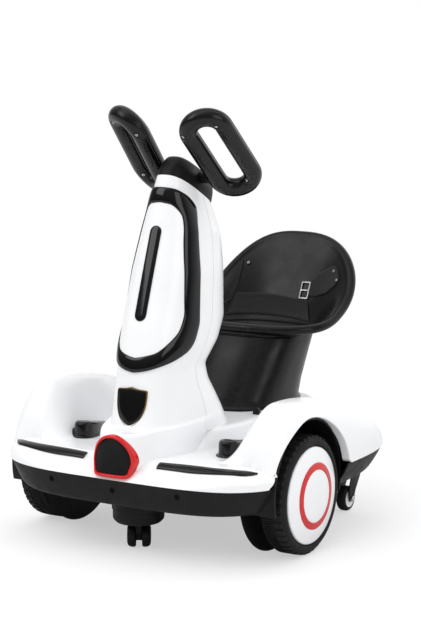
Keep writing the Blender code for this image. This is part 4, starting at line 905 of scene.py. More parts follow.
def rings_on_column(rings, lifts):
    """Rows of lifted points from outlines seen from the front."""
    rows = []
    for ring, lift in zip(rings, lifts):
        places = from_front(ring)
        rows.append(lifted(places[:, 0], places[:, 1], np.full(len(places), lift)))
    return rows


def make_strip():
    """Bare gloss black pill on the plate, with a soft crown."""
    low, high, radius = 0.3935, 0.5255, 0.0105
    rings, lifts = [], []
    for share, lift in ((1.0, 0.0016), (1.0, 0.0030), (0.95, 0.0036), (0.82, 0.0040), (0.55, 0.0043),
                        (0.2, 0.0044)):
        r = radius * share
        upper = [(r * math.cos(a), high + r * math.sin(a)) for a in np.linspace(0, math.pi, 17)]
        left = [(-r, high + (low - high) * k / 20) for k in range(1, 20)]
        lower = [(-r * math.cos(a), low - r * math.sin(a)) for a in np.linspace(0, math.pi, 17)]
        right = [(r, low + (high - low) * k / 20) for k in range(1, 20)]
        rings.append(upper + left + lower + right)
        lifts.append(lift)
    make_piece("pill_strip", capped(rings_on_column(rings, lifts)),
               "black_gloss", stands_for=["front_strip"], angle=50)


def badge_y(z):
    """The fairing's front line where the shield stands."""
    return -0.131 + (z - 0.240) * 0.005 / 0.032


def badge_outline(shrink):
    """The shield's outline as (x, z), drawn in by shrink."""
    half = ((0.0, 0.2780), (0.0120, 0.2752), (0.0285, 0.2735), (0.0288, 0.262), (0.0278, 0.245),
            (0.0220, 0.228), (0.0110, 0.2165), (0.0, 0.2105))
    line = rounded(list(half) + [(-x, z) for x, z in reversed(half[1:-1])],
                   [0.001, 0.003, 0.003, 0.006, 0.008, 0.008, 0.006, 0.002, 0.006, 0.008, 0.008, 0.006,
                    0.003, 0.003], 5)
    middle = 0.2455
    return [(x * (1 - shrink / 0.0285), middle + (z - middle) * (1 - shrink / 0.0335)) for x, z in line]


def make_badge():
    """Blank black shield with a thin metallic edge."""
    def ring(shrink, proud):
        return [(x, badge_y(z) + 5.0 * x * x - proud, z) for x, z in badge_outline(shrink)]

    edge = [ring(0, -0.022), ring(0, 0.0022), ring(0.0003, 0.0029), ring(0.0009, 0.0031),
            ring(0.0014, 0.0028), ring(0.0014, -0.022)]
    make_piece("shield_edge", looped(edge), "gold_edge", angle=50)
    face = [ring(0.0014, -0.022), ring(0.0014, 0.0021), ring(0.0020, 0.0025), ring(0.006, 0.0028),
            ring(0.012, 0.0031), ring(0.020, 0.0032)]
    make_piece("shield", capped(face), "black_gloss",
               stands_for=["shield_badge"], angle=50)


def nose_outline(shrink):
    """The arch-shaped nose outline as (x, z), with rounded feet."""
    half, low, high, knee = 0.0400 - shrink, 0.140 + shrink, 0.2085 - shrink, 0.164
    arch = [(half * math.cos(a), knee + (high - knee) * math.sin(a)) for a in np.linspace(0, math.pi, 41)]
    knee = max(knee, low + 0.003)
    corner = max(0.007 - shrink * 0.5, 0.0005)
    between = [(half * 0.86 * share, low) for share in np.linspace(-0.62, 0.62, 11)]
    foot = rounded([(-half, knee), (-half * 0.86, low), *between, (half * 0.86, low), (half, knee)],
                   [0, corner] + [0] * len(between) + [corner, 0], 7, closed=False)
    return arch + foot[1:-1]


# The prow's foremost line behind the nose, how much of its bend the nose follows, and how far it leans
PROW_Y, PROW_Z = -0.187, 0.190
NOSE_BEND = 0.6
NOSE_LEAN = 0.11


def nose_ring(shrink, proud):
    """An outline of the nose, bent round the prow and leaning back, standing proud of it."""
    line = nose_outline(shrink)
    prow = column_point(*from_front([(x, PROW_Z) for x, _ in line]).T)[:, 1]
    bend = (prow - PROW_Y) * NOSE_BEND + PROW_Y
    return [(x, float(y) + (z - PROW_Z) * NOSE_LEAN - proud, z) for (x, z), y in zip(line, bend)]


def make_nose():
    """Black nose panel, slightly dished, in a rounded red border."""
    border = [nose_ring(0, -0.014), nose_ring(0, 0.0030), nose_ring(0.0006, 0.0044),
              nose_ring(0.0018, 0.0050), nose_ring(0.0034, 0.0050), nose_ring(0.0044, 0.0043),
              nose_ring(0.0050, 0.0030), nose_ring(0.0050, -0.014)]
    make_piece("nose_frame", looped(border), "red_gloss",
               stands_for=["nose_border"], angle=50)
    panel = [nose_ring(0.0052, -0.014), nose_ring(0.0052, 0.0016), nose_ring(0.0060, 0.0024),
             nose_ring(0.010, 0.0018), nose_ring(0.018, 0.0010), nose_ring(0.026, 0.0006)]
    make_piece("nose_face", capped(panel), "black_plastic",
               stands_for=["nose_panel"], angle=50)


POD_X, POD_Y, POD_TAIL = 0.144, -0.056, 0.066


def pod_outline(grow):
    """A pod seen from above, round in front and drawn to a point behind."""
    radius, reach = 0.0175 + grow, POD_TAIL + grow
    front = [(radius * math.cos(a), -radius * math.sin(a))
             for a in np.linspace(math.radians(2), math.pi - math.radians(2), 33)]
    tail = [(-radius * (1 - t ** 1.7), reach * t) for t in np.linspace(0.06, 0.97, 18)]
    return front + tail + [(0.0, reach)] + [(-x, y) for x, y in reversed(tail)]


def make_pods():
    """Two teardrop lamp pods on thin foot flanges."""
    middle = top_at(POD_X, POD_Y)
    for label, side in LEFT_AND_RIGHT:
        rows = []
        for grow, height in ((0.0042, -0.0020), (0.0042, 0.0016), (0.0036, 0.0022), (0.0012, 0.0024),
                             (0.0004, 0.0034), (0.0, 0.0060), (-0.0002, 0.0200), (-0.0010, 0.0235),
                             (-0.0028, 0.0258), (-0.0055, 0.0268), (-0.0100, 0.0272), (-0.0150, 0.0273)):
            ring = []
            for x, y in pod_outline(grow):
                fall = 1 - 0.45 * max(y, 0) / POD_TAIL if height > 0.004 else 1
                ground = top_at(POD_X + x, POD_Y + y)
                share = min(max(height / 0.02, 0), 1)
                level = ground + (middle - ground) * share + max(height, -0.002) * fall
                ring.append((side * (POD_X + x), POD_Y + y, level))
            rows.append(ring)
        make_piece(label + "_pod", capped(rows), "black_gloss", stands_for=[label + "_lamp_pod"], angle=42)


BAR_FRONT = ((0.0720, -0.1640), (0.1100, -0.1630), (0.1480, -0.1605), (0.1850, -0.1550),
             (0.2150, -0.1455), (0.2290, -0.1340), (0.2362, -0.1225))
BAR_REAR = ((0.0720, -0.1510), (0.1000, -0.1490), (0.1390, -0.1455), (0.1700, -0.1415),
            (0.2036, -0.1345), (0.2220, -0.1270), (0.2358, -0.1222))


def make_bars():
    """Gloss black bars that follow the apron and run out to a point."""
    front, rear = curve_through(BAR_FRONT, 10), curve_through(BAR_REAR, 10)
    for label, side in LEFT_AND_RIGHT:
        rows = []
        for share, lift in ((0.0, -0.0012), (0.0, 0.0016), (0.03, 0.0025), (0.12, 0.0031), (0.3, 0.0035),
                            (0.5, 0.0036), (0.7, 0.0035), (0.88, 0.0031), (0.97, 0.0025), (1.0, 0.0016),
                            (1.0, -0.0012)):
            spot = front + (rear - front) * share
            x, y = spot[:, 0], spot[:, 1]
            dx, dy = body_slope(x, y)
            size = np.sqrt(dx ** 2 + dy ** 2 + 1)
            rows.append(np.stack([side * (x - dx / size * lift), y - dy / size * lift,
                                  body_top(x, y) + lift / size], 1))
        rows = np.swapaxes(np.array(rows), 0, 1)
        make_piece(label + "_bar", capped(rows), "black_gloss", stands_for=[label + "_apron_bar"], angle=50)


# Seat


def oval(half_width, half_depth, centre_y, height, power=2.69, count=144):
    """A squared oval ring; height is a number or a function of how far back a point lies."""
    angle = np.linspace(0, 2 * math.pi, count, endpoint=False)
    c, s = np.cos(angle), np.sin(angle)
    x = half_width * squared(c, power)
    y = centre_y + half_depth * squared(s, power)
    back = (y - centre_y + half_depth) / (2 * half_depth)
    z = height(back) if callable(height) else np.full_like(x, height)
    return np.stack([x, y, z], 1)


def rim_height(back):
    """The seat's rim is low in front and rises to the backrest."""
    return 0.329 + 0.141 * np.maximum(back, 0) ** 2.74


RIM_ROLL = 0.0085


def rim_ring(angle):
    """A ring on the rolled rim, from straight out (0) over the top (90) to inside (180)."""
    out, up = RIM_ROLL * math.cos(math.radians(angle)), RIM_ROLL * math.sin(math.radians(angle))
    return oval(0.1425 + out, 0.120 + out, 0.333, lambda back: rim_height(back) + up)


LEDGE_Z = 0.3154
BUCKET_FLOOR_Z = 0.262


def make_seat(sizes):
    """Bucket with a rolled rim, on a tapered pedestal with a thin foot flange."""
    below = [oval(0.064, 0.052, 0.272, BUCKET_FLOOR_Z - 0.008), oval(0.078, 0.065, 0.275, BUCKET_FLOOR_Z),
             oval(0.0855, 0.0745, 0.288, LEDGE_Z - 0.0004), oval(0.104, 0.088, 0.293, LEDGE_Z + 0.0004),
             oval(0.126, 0.1045, 0.314, lambda b: 0.3185 + 0.075 * b ** 2), rim_ring(-58)]
    below = smooth_rows(below, 5, 4)
    rim = [rim_ring(a) for a in range(-50, 161, 10)]
    bowl = smooth_rows(bowl_rings(), 6, 5)
    rows = list(below) + rim + list(bowl)
    make_piece("seat_shell", capped(rows), "seat_plastic",
               stands_for=["seat_bucket"], angle=60)
    foot = PLATFORM_Z + 0.0002
    outside, inside = [], []
    for grow, z, share in ((0.0045, foot, 0), (0.0045, foot + 0.0030, 0), (0.0038, foot + 0.0040, 0.0),
                           (0.0012, foot + 0.0046, 0.01), (0.0002, foot + 0.0062, 0.03),
                           (-0.0006, 0.215, 0.12), (-0.0018, 0.235, 0.30), (-0.002, 0.255, 0.5),
                           (-0.0015, 0.285, 0.76), (-0.0002, 0.3125, 0.985), (-0.0010, 0.3150, 1)):
        outside.append(oval(0.092 + 0.006 * share + grow, 0.108 - 0.023 * share + grow,
                            0.225 + 0.063 * share, z))
    for grow, z, share in ((0, 0.3150, 1), (-0.002, 0.255, 0.5), (0, foot, 0)):
        inside.append(oval(0.092 + 0.006 * share + grow - sizes.wall,
                           0.108 - 0.023 * share + grow - sizes.wall, 0.225 + 0.063 * share, z))
    make_piece("seat_base", looped(outside + inside), "seat_plastic",
               stands_for=["seat_pedestal"], angle=45)
    make_foot_catch()


def make_foot_catch():
    """Small grey catch at the pedestal's foot, beside the column."""
    outline = rounded([(0.088, PLATFORM_Z - 0.001), (0.1000, PLATFORM_Z - 0.001), (0.0990, 0.206),
                       (0.0945, 0.2105), (0.0880, 0.2090)], [0, 0, 0.002, 0.002, 0], 4)
    piece = shaped("seat_catch", prism(outline, 0.118, 0.127, "Y"))
    soften(piece, 0.0008)
    dress(piece, "grey_plastic")


def bowl_rings():
    """The bucket's inside from its rim down to its floor."""
    rings = [rim_ring(165), oval(0.1225, 0.1010, 0.3135, lambda b: 0.3225 + 0.075 * b ** 2)]
    for half_width, half_depth, centre_y, z in ((0.101, 0.085, 0.292, LEDGE_Z + 0.003),
                                                (0.0825, 0.0715, 0.288, LEDGE_Z + 0.0024),
                                                (0.075, 0.062, 0.275, BUCKET_FLOOR_Z + 0.003),
                                                (0.062, 0.050, 0.272, BUCKET_FLOOR_Z - 0.005)):
        rings.append(oval(half_width, half_depth, centre_y, z))
    return rings


class Bowl:
    """The bucket's inside as a surface that pieces are laid on."""

    def __init__(self):
        rows = [rim_ring(90) + np.array([0, 0, 0.03])] + [rim_ring(a) for a in range(100, 161, 12)]
        shape = Shape().lattice(rows + list(smooth_rows(bowl_rings(), 6, 5)))
        self.tree = BVHTree.FromPolygons([Vector(p) for p in shape.points], shape.faces)

    def lay(self, point, sideways, lift):
        """The point of the wall straight behind (x, z), or beside (y, z) for sideways, lifted inward."""
        a, z = point
        start = Vector((0.0, a, z)) if sideways else Vector((a, 0.30, z))
        ahead = Vector((-1, 0, 0)) if sideways else Vector((0, 1, 0))
        spot, normal, _, _ = self.tree.ray_cast(start, ahead)
        if sideways or spot is None:
            spot, normal, _, _ = self.tree.find_nearest(start + ahead * 0.105)
            inward = Vector((0, 0.30, 0.42)) - spot
            normal = normal if normal.dot(inward) > 0 else -normal
            return spot + normal * lift, normal
        near = [self.tree.ray_cast(start + Vector((x, 0, z)), ahead)[1]
                for x, z in ((0, 0.006), (0, -0.006), (0.006, 0), (-0.006, 0))]
        total = Vector((0, 0, 0))
        for turned in [normal] + [n for n in near if n]:
            total += turned if turned.dot(ahead) < 0 else -turned
        return spot + total.normalized() * lift, total.normalized()

    def patch(self, outline, lifts, sideways=False):
        """A padded patch on the wall: rings drawn in by each share and lifted."""
        line = np.array(rounded(outline, 0.004, 4))
        middle = line.mean(axis=0)
        rows = []
        for share, lift in lifts:
            rows.append([self.lay(middle + (point - middle) * share, sideways, lift)[0] for point in line])
        return capped(rows)


TAB_LIFTS = ((1.0, 0.0002), (1.0, 0.0015), (0.97, 0.0021), (0.88, 0.0023), (0.6, 0.0023), (0.25, 0.0023))


def make_strap(bowl):
    """The waist strap, with a thicker hem along each edge."""
    low = [(-0.098, 0.3275), (-0.026, 0.3270), (0.062, 0.3235)]
    high = [(-0.098, 0.3640), (-0.032, 0.3640), (0.0455, 0.3575)]
    low, high = curve_through(low, 14), curve_through(high, 14)
    rows = []
    for share, lift in ((0, 0.0002), (0, 0.0012), (0.03, 0.0020), (0.08, 0.0026), (0.12, 0.0022),
                        (0.3, 0.0021), (0.5, 0.0021), (0.7, 0.0021), (0.88, 0.0022), (0.92, 0.0026),
                        (0.97, 0.0020), (1, 0.0012), (1, 0.0002)):
        rows.append([bowl.lay(a + (b - a) * share, False, lift)[0] for a, b in zip(low, high)])
    rows = np.swapaxes(np.array([[tuple(p) for p in row] for row in rows]), 0, 1)
    make_piece("waist_strap_fine", capped(rows), "webbing",
               stands_for=["waist_strap"], angle=50)


def make_tabs(bowl):
    """The tabs that hold the strap's ends."""
    left = [(0.3490, 0.3450), (0.3720, 0.3470), (0.4000, 0.3720), (0.4220, 0.4050), (0.4240, 0.4170),
            (0.4150, 0.4200), (0.4040, 0.4020), (0.3810, 0.3790), (0.3620, 0.3620), (0.3490, 0.3520)]
    right = [(0.0430, 0.3640), (0.0600, 0.3660), (0.0850, 0.3740), (0.1030, 0.3900), (0.1070, 0.4020),
             (0.0985, 0.4170), (0.0875, 0.4230), (0.0600, 0.4080), (0.0430, 0.3880)]
    make_piece("left_belt_flap", bowl.patch(left, TAB_LIFTS, True), "satin_black",
               stands_for=["left_belt_tab"], angle=60)
    make_piece("right_belt_end", bowl.patch(right, TAB_LIFTS), "webbing",
               stands_for=["right_belt_tab"], angle=60)


def make_slide(bowl):
    """The metal ladder slide that lies on the strap."""
    spot, normal = bowl.lay((0.0357, 0.3745), False, 0.0024)
    across = Vector((1, 0, 0)) - normal * normal.x
    across.normalize()
    up = normal.cross(across)
    up = up if up.z > 0 else -up
    turn = Matrix((across, up, normal)).transposed()
    half_width, half_height, bar = 0.0098, 0.0172, 0.0034
    frame_outline = rounded([(half_width, half_height), (-half_width, half_height),
                             (-half_width, -half_height), (half_width, -half_height)], 0.0022, 4)
    plate = shaped("ladder_slide", placed(prism(frame_outline, -0.0011, 0.0011, "Z"), turn, spot))
    slot_half = (half_height * 2 - 3 * bar) / 4
    slots = []
    for sign in (1, -1):
        middle = sign * (bar / 2 + slot_half)
        reach = half_width - bar * 0.8
        hole = rounded([(reach, middle + slot_half), (-reach, middle + slot_half),
                        (-reach, middle - slot_half), (reach, middle - slot_half)], 0.0012, 3)
        slots.append(("DIFFERENCE", placed(prism(hole, -0.004, 0.004, "Z"), turn, spot)))
    carve(plate, *slots)
    soften(plate, 0.0006, 3)
    dress(plate, "bare_steel", stands_for=["belt_slide"], angle=50)


def make_belt(sizes):
    """Waist belt against the bucket's back: strap, ladder slide and the tabs screwed on at its ends."""
    bowl = Bowl()
    make_strap(bowl)
    make_tabs(bowl)
    make_slide(bowl)
    places = [bowl.lay(point, False, 0.0026)
              for point in ((-0.0915, 0.4165), (0.0905, 0.4130), (0.1030, 0.3985))]
    make_screws("belt_screws", places, "chassis", sizes)


def placed(shape, turn, spot):
    """A shape turned and moved."""
    shape.points = [tuple(turn @ Vector(point) + Vector(spot)) for point in shape.points]
    return shape


# What repeats


def screw_head(radius):
    """A pan head with a cross recess, its axis up."""
    head = spin([(0, -radius * 0.5), (radius, -radius * 0.5), (radius, radius * 0.10),
                 (radius * 0.86, radius * 0.30), (radius * 0.5, radius * 0.42), (0, radius * 0.46)],
                (0, -AXLE_Y, 0), 24, (0, 0, 1))
    made = shaped("screw_copy", head)
    long, thin = radius * 0.58, radius * 0.13
    carve(made, *[("DIFFERENCE", box_shape((-a, -b - AXLE_Y, radius * 0.16), (a, b - AXLE_Y, radius)))
                  for a, b in ((long, thin), (thin, long))])
    return made


def make_copy(name, shape):
    """An object for a node tree to copy, drawn round the origin and left there."""
    shape.points = [(x, y - AXLE_Y, z) for x, y, z in shape.points]
    return shaped(name, shape)


def start_tree(name, *sockets):
    """A node tree that copies an object: (tree, its inputs, the copy's geometry)."""
    tree = bpy.data.node_groups.new(name, "GeometryNodeTree")
    for label, kind in (("Geometry", "Geometry"), ("Copy", "Object"), *sockets, ("Finish", "Material")):
        tree.interface.new_socket(label, in_out="INPUT", socket_type="NodeSocket" + kind)
    tree.interface.new_socket("Geometry", in_out="OUTPUT", socket_type="NodeSocketGeometry")
    source = add_node(tree, "NodeGroupInput").outputs
    copies = add_node(tree, "GeometryNodeObjectInfo", {"Object": source["Copy"]}).outputs["Geometry"]
    return tree, source, copies


def end_tree(tree, points, copies, turn, move, finish):
    """Set turned copies on the points, make them real, move them and give them their material."""
    spread_out = add_node(tree, "GeometryNodeInstanceOnPoints",
                          {"Points": points, "Instance": copies, "Rotation": turn}).outputs[0]
    real = add_node(tree, "GeometryNodeRealizeInstances", {"Geometry": spread_out}).outputs[0]
    moved = add_node(tree, "GeometryNodeTransform", {"Geometry": real, "Translation": move}).outputs[0]
    painted = add_node(tree, "GeometryNodeSetMaterial", {"Geometry": moved, "Material": finish}).outputs[0]
    add_node(tree, "NodeGroupOutput", {"Geometry": painted})


def run_tree(made, tree, values, finish, body):
    """Put a tree on an object with its inputs set, bake it, discard the copy and dress the result."""
    step = made.modifiers.new("repeat", "NODES")
    sockets = {item.name: item.identifier for item in tree.interface.items_tree
               if item.item_type == "SOCKET" and item.in_out == "INPUT"}
    step.node_group = tree
    for label, value in {**values, "Finish": bpy.data.materials["finish_" + finish]}.items():
        step[sockets[label]] = value
    baked(made)
    discard(values["Copy"])
    return dress(made, finish, body)


def scatter(name, places, copy, finish, body):
    """One mesh of copies set on points by a node tree, each turned to face along its normal."""
    mesh = bpy.data.meshes.new(name)
    mesh.from_pydata([tuple(Vector(spot) + Vector((0, AXLE_Y, 0))) for spot, _ in places], [], [])
    facing = mesh.attributes.new("facing", "FLOAT_VECTOR", "POINT")
    facing.data.foreach_set("vector", [c for _, normal in places for c in normal])
    made = make_object(name, mesh)
    tree, source, copies = start_tree(name)
    vector = add_node(tree, "GeometryNodeInputNamedAttribute", {"Name": "facing"},
                      data_type="FLOAT_VECTOR").outputs["Attribute"]
    turn = add_node(tree, "FunctionNodeAlignRotationToVector", {"Vector": vector}, axis="Z").outputs[0]
    end_tree(tree, source["Geometry"], copies, turn, (0, 0, 0), source["Finish"])
    return run_tree(made, tree, {"Copy": copy}, finish, body)


def make_screws(name, places, body, sizes, finish="bare_steel", size=1.0):
    """Screw heads on the given places."""
    scatter(name, places, screw_head(sizes.screw * size), finish, body)


def ring_of_copies(name, copy, count, radius, centre, finish, body, turned=0.0):
    """Copies set round the X axis by a node tree: the copy is drawn at the top, its middle at the axis."""
    made = make_object(name, bpy.data.meshes.new(name))
    tree, source, copies = start_tree(name, ("Count", "Int"), ("Radius", "Float"), ("Centre", "Vector"),
                                      ("Start", "Float"))
    points = add_node(tree, "GeometryNodePoints", {"Count": source["Count"]}).outputs[0]
    place = add_node(tree, "GeometryNodeInputIndex").outputs[0]
    share = add_node(tree, "ShaderNodeMath", {0: place, 1: source["Count"]}, operation="DIVIDE").outputs[0]
    angle = add_node(tree, "ShaderNodeMath", {0: share, 1: 2 * math.pi, 2: source["Start"]},
                     operation="MULTIPLY_ADD").outputs[0]
    turn = add_node(tree, "ShaderNodeCombineXYZ", {"X": angle}).outputs[0]
    up = add_node(tree, "ShaderNodeCombineXYZ", {"Z": source["Radius"]}).outputs[0]
    raised = add_node(tree, "GeometryNodeTransform", {"Geometry": copies, "Translation": up}).outputs[0]
    end_tree(tree, points, raised, turn, source["Centre"], source["Finish"])
    centre = Vector(centre) + Vector((0, AXLE_Y, 0))
    return run_tree(made, tree, {"Copy": copy, "Count": count, "Radius": radius, "Centre": centre,
                                 "Start": turned}, finish, body)


# Console and ring levers


PIVOT = Vector((0, 0.048, 0.6105))


def console_frame():
    """The tilted console's directions: along its top, and square to it."""
    front_y, front_z, rear_y, rear_z = SECTIONS[-1][:4]
    along = Vector((0, rear_y - front_y, rear_z - front_z)).normalized()
    return along, Vector((0, -along.z, along.y))


def console_ring(lift, width, front_in, rear_in, count=112):
    """A ring of the console cap, raised square to its tilted foot."""
    front_y, front_z, rear_y, rear_z, _, power, _ = SECTIONS[-1]
    along, up = console_frame()
    start = Vector((0, front_y, front_z)) + along * front_in + up * lift
    end = Vector((0, rear_y, rear_z)) - along * rear_in + up * lift
    middle = start.lerp(end, WIDEST_SHARE)
    ring = []
    for k in range(count):
        angle = 2 * math.pi * k / count
        c, s = math.cos(angle), math.sin(angle)
        tip = end if s > 0 else start
        point = middle + (tip - middle) * abs(s) ** (2 / power)
        point.x = width * math.copysign(abs(c) ** (2 / power), c)
        ring.append(tuple(point))
    return ring


def make_console():
    """Black cap over the lever pivot, its bevelled top plate and two sprung push buttons."""
    outer = [console_ring(0.0003, 0.0305, 0, 0), console_ring(0.017, 0.0300, 0.001, 0.001),
             console_ring(0.030, 0.0265, 0.005, 0.004), console_ring(0.037, 0.0245, 0.010, 0.009),
             console_ring(0.0385, 0.0228, 0.0125, 0.0115)]
    outer = smooth_rows(outer, 5, 6)
    inner = [console_ring(0.0365, 0.0200, 0.016, 0.015), console_ring(0.028, 0.0238, 0.008, 0.007),
             console_ring(0.017, 0.0272, 0.004, 0.004), console_ring(0.0003, 0.0277, 0.003, 0.003)]
    rows = list(outer) + [console_ring(0.0385, 0.0200, 0.016, 0.015)]
    hub = cylinder(PIVOT, 0.0100, -0.05, 0.05, 40)
    make_piece("console_body", looped(rows + inner), "black_plastic", stands_for=["console_cap"],
               angle=45, cuts=[("DIFFERENCE", hub)])
    plate = [console_ring(0.0370, 0.0216, 0.0142, 0.0132), console_ring(0.0392, 0.0216, 0.0142, 0.0132),
             console_ring(0.0400, 0.0207, 0.0152, 0.0142)]
    along, up = console_frame()
    top = Vector((0, SECTIONS[-1][0], SECTIONS[-1][1])) + up * 0.040
    holes, spots = [], {}
    for name, distance in (("power_button", 0.038), ("music_button", 0.083)):
        spots[name] = top + along * distance
        holes.append(("DIFFERENCE", cylinder(spots[name], 0.0081, -0.02, 0.02, 40, up)))
    make_piece("console_plate", capped(plate), "satin_black",
               angle=30, cuts=holes)
    for name, body, finish in (("power_button", "power_push", "red_gloss"),
                               ("music_button", "music_push", "grey_plastic")):
        profile = rounded([(0, -0.0060), (0.0074, -0.0060), (0.0074, 0.0027), (0, 0.0031)],
                          [0, 0.0005, 0.0012, 0], 4, closed=False)
        make_piece(name + "_cap", spin(profile, spots[name], 48, up), finish,
                   body, [name], angle=40)


def ring_frame(side):
    """A ring lever's own directions: across its width, up its long way, and out of its front."""
    turn = Matrix.Rotation(math.radians(14.7), 3, "Z") @ Matrix.Rotation(-math.radians(19.5), 3, "Y")
    across = turn @ Vector((1, 0, 0))
    lean = math.radians(43.3)
    lean = Vector((0, -math.sin(lean), math.cos(lean)))
    upward = (lean - across * lean.dot(across)).normalized()
    front = across.cross(upward)
    front = -front if front.y > 0 else front
    return [Vector((v.x * side, v.y, v.z)) for v in (across, upward, front)]


RING_BEND = 0.0302
RING_STRAIGHT = 0.1078
RING_TUBE = 0.0156
RING_BORE = 0.0126


def ring_centre(side):
    """The middle of a ring lever."""
    return Vector((0.0790 * side, 0.0258, 0.6550))


def ring_path(side):
    """Centre line of a ring lever: (point, direction outward in its plane)."""
    across, upward, _ = ring_frame(side)
    centre = ring_centre(side)
    path = []
    for sign in (1, -1):
        for k in range(37):
            angle = math.pi * k / 36
            out = (across * math.cos(angle) + upward * math.sin(angle)) * sign
            path.append((centre + upward * (RING_STRAIGHT / 2) * sign + out * RING_BEND, out))
        last, out = path[-1]
        for k in range(1, 12):
            path.append((last - upward * RING_STRAIGHT * sign * k / 12, out))
    return path


def ring_half(side, facing):
    """One half shell of a ring lever, its edges a hair off the seam's plane."""
    front = ring_frame(side)[2]
    edge, seam = RING_TUBE - 0.0005, 0.00012
    rows = []
    for point, out in ring_path(side):
        ring = [point + out * edge + front * facing * seam]
        for a in np.radians(np.linspace(3, 177, 27)):
            ring.append(point + out * RING_TUBE * math.cos(a) + front * facing * RING_TUBE * math.sin(a))
        ring.append(point - out * edge + front * facing * seam)
        for a in np.radians(np.linspace(178, 2, 9)):
            ring.append(point + out * RING_BORE * math.cos(a) + front * facing * RING_BORE * math.sin(a))
        rows.append([tuple(p) for p in ring])
    return looped(rows)


def make_levers(sizes):
    """Ring levers: two half shells with a fine seam, their screws, and the hubs on the pivot rod."""
    for label, side in LEFT_AND_RIGHT:
        across, upward, _ = ring_frame(side)
        body = label + "_lever"
        for facing, half in ((1, "front"), (-1, "rear")):
            make_piece("%s_ring_%s" % (label, half), ring_half(side, facing), "satin_black",
                       body, ["%s_handle_%s" % (label, half)], angle=50)
        places = ring_screws(side)
        make_cups(label + "_screw_cups", [(spot - normal * 0.0002, normal) for spot, normal in places],
                  body)
        make_screws(label + "_ring_screws", [(spot - normal * 0.0010, normal) for spot, normal in places],
                    body, sizes, "chrome")
        profile = rounded([(0.0035, 0.0095), (0.0090, 0.0095), (0.0090, 0.0225), (0.0095, 0.0228),
                           (0.0095, 0.0500), (0.0035, 0.0500)], [0, 0.001, 0, 0.0002, 0.001, 0], 2,
                          closed=False)
        hub = shaped(label + "_hub", spin(profile, PIVOT, 48, side=side))
        inner = ring_centre(side) - across * RING_BEND
        saddle = cylinder(inner, RING_TUBE + 0.0002, -0.104, 0.02, 48, upward)
        carve(hub, ("DIFFERENCE", saddle))
        dress(hub, "grey_plastic", body, [label + "_lever_hub"], angle=40)


RING_SCREWS = ((0.1007, -0.0262, 0.7012), (0.0456, -0.0391, 0.6839), (0.1025, 0.0680, 0.6072),
               (0.0520, 0.0330, 0.6260))


def ring_screws(side):
    """Four screws in each ring's front half; each stands straight out of the tube at its place."""
    path = [point for point, _ in ring_path(side)]
    places = []
    for x, y, z in RING_SCREWS:
        wanted = Vector((x * side, y, z))
        nearest = min(path, key=lambda point: (point - wanted).length)
        normal = (wanted - nearest).normalized()
        places.append((nearest + normal * RING_TUBE, normal))
    return places


def make_cups(name, places, body):
    """Dark counterbores round the screws, as shallow rings let into the skin."""
    profile = [(0.0050, -0.0030), (0.0050, 0.0004), (0.0044, 0.0006), (0.0036, 0.0003), (0.0034, -0.0012),
               (0.0006, -0.0014), (0.0006, -0.0030)]
    cup = shaped("cup_copy", spin(profile, (0, -AXLE_Y, 0), 28, (0, 0, 1)))
    scatter(name, places, cup, "black_plastic", body)


# Wheels and casters


def cap_face(radius):
    """Outer face of the domed wheel cap, from the middle of the object."""
    dome = 0.011
    return TYRE_OUTER + dome - dome * (radius / 0.081) ** 2.4


def make_tyre(label, side, sizes):
    """Tyre with smooth sidewalls, close cross ribs inboard and chunky lugs outboard."""
    inner, outer = TYRE_INNER, TYRE_OUTER
    profile = rounded([(0.0770, inner + 0.003), (0.0905, inner), (0.0972, inner + 0.0055),
                       (0.0978, inner + 0.012), (0.0978, outer - 0.012), (0.0970, outer - 0.005),
                       (0.0915, outer), (0.0848, outer), (0.0830, outer - 0.003), (0.0770, outer - 0.003)],
                      [0.001, 0.006, 0.004, 0.004, 0.004, 0.004, 0.004, 0.0015, 0.001, 0.001], 5)
    body = label + "_drive_wheel"
    make_piece(label + "_tyre_body", spin(profile, WHEEL_CENTRE, 160, side=side), "rubber", body,
               [label + "_tyre"], angle=45)
    rib = prism([(-0.00085, -0.0010), (0.00085, -0.0010), (0.00060, 0.0019), (-0.00060, 0.0019)],
                side * (inner + 0.0085), side * (HALF_TRACK + 0.0015))
    lug = [[(side * x, y * w, z) for x, y, z in
            ((HALF_TRACK + 0.0045, -0.0045, z0), (outer - 0.0072 + dx, -0.0045, z0 - dz),
             (outer - 0.0072 + dx, 0.0045, z0 - dz), (HALF_TRACK + 0.0045, 0.0045, z0))]
           for z0, w, dx, dz in ((-0.0012, 1.06, 0.0030, 0.0022), (0.0012, 1.0, 0.0026, 0.0018),
                                 (0.0020, 0.90, 0.0012, 0.0008))]
    for name, shape, count, turned in (("ribs", rib, sizes.ribs, 0.0),
                                       ("lugs", capped(lug), sizes.lugs, 0.03)):
        ring_of_copies("%s_tread_%s" % (label, name), make_copy("tread_copy", shape), count, 0.0978,
                       WHEEL_CENTRE, "rubber", body, turned)


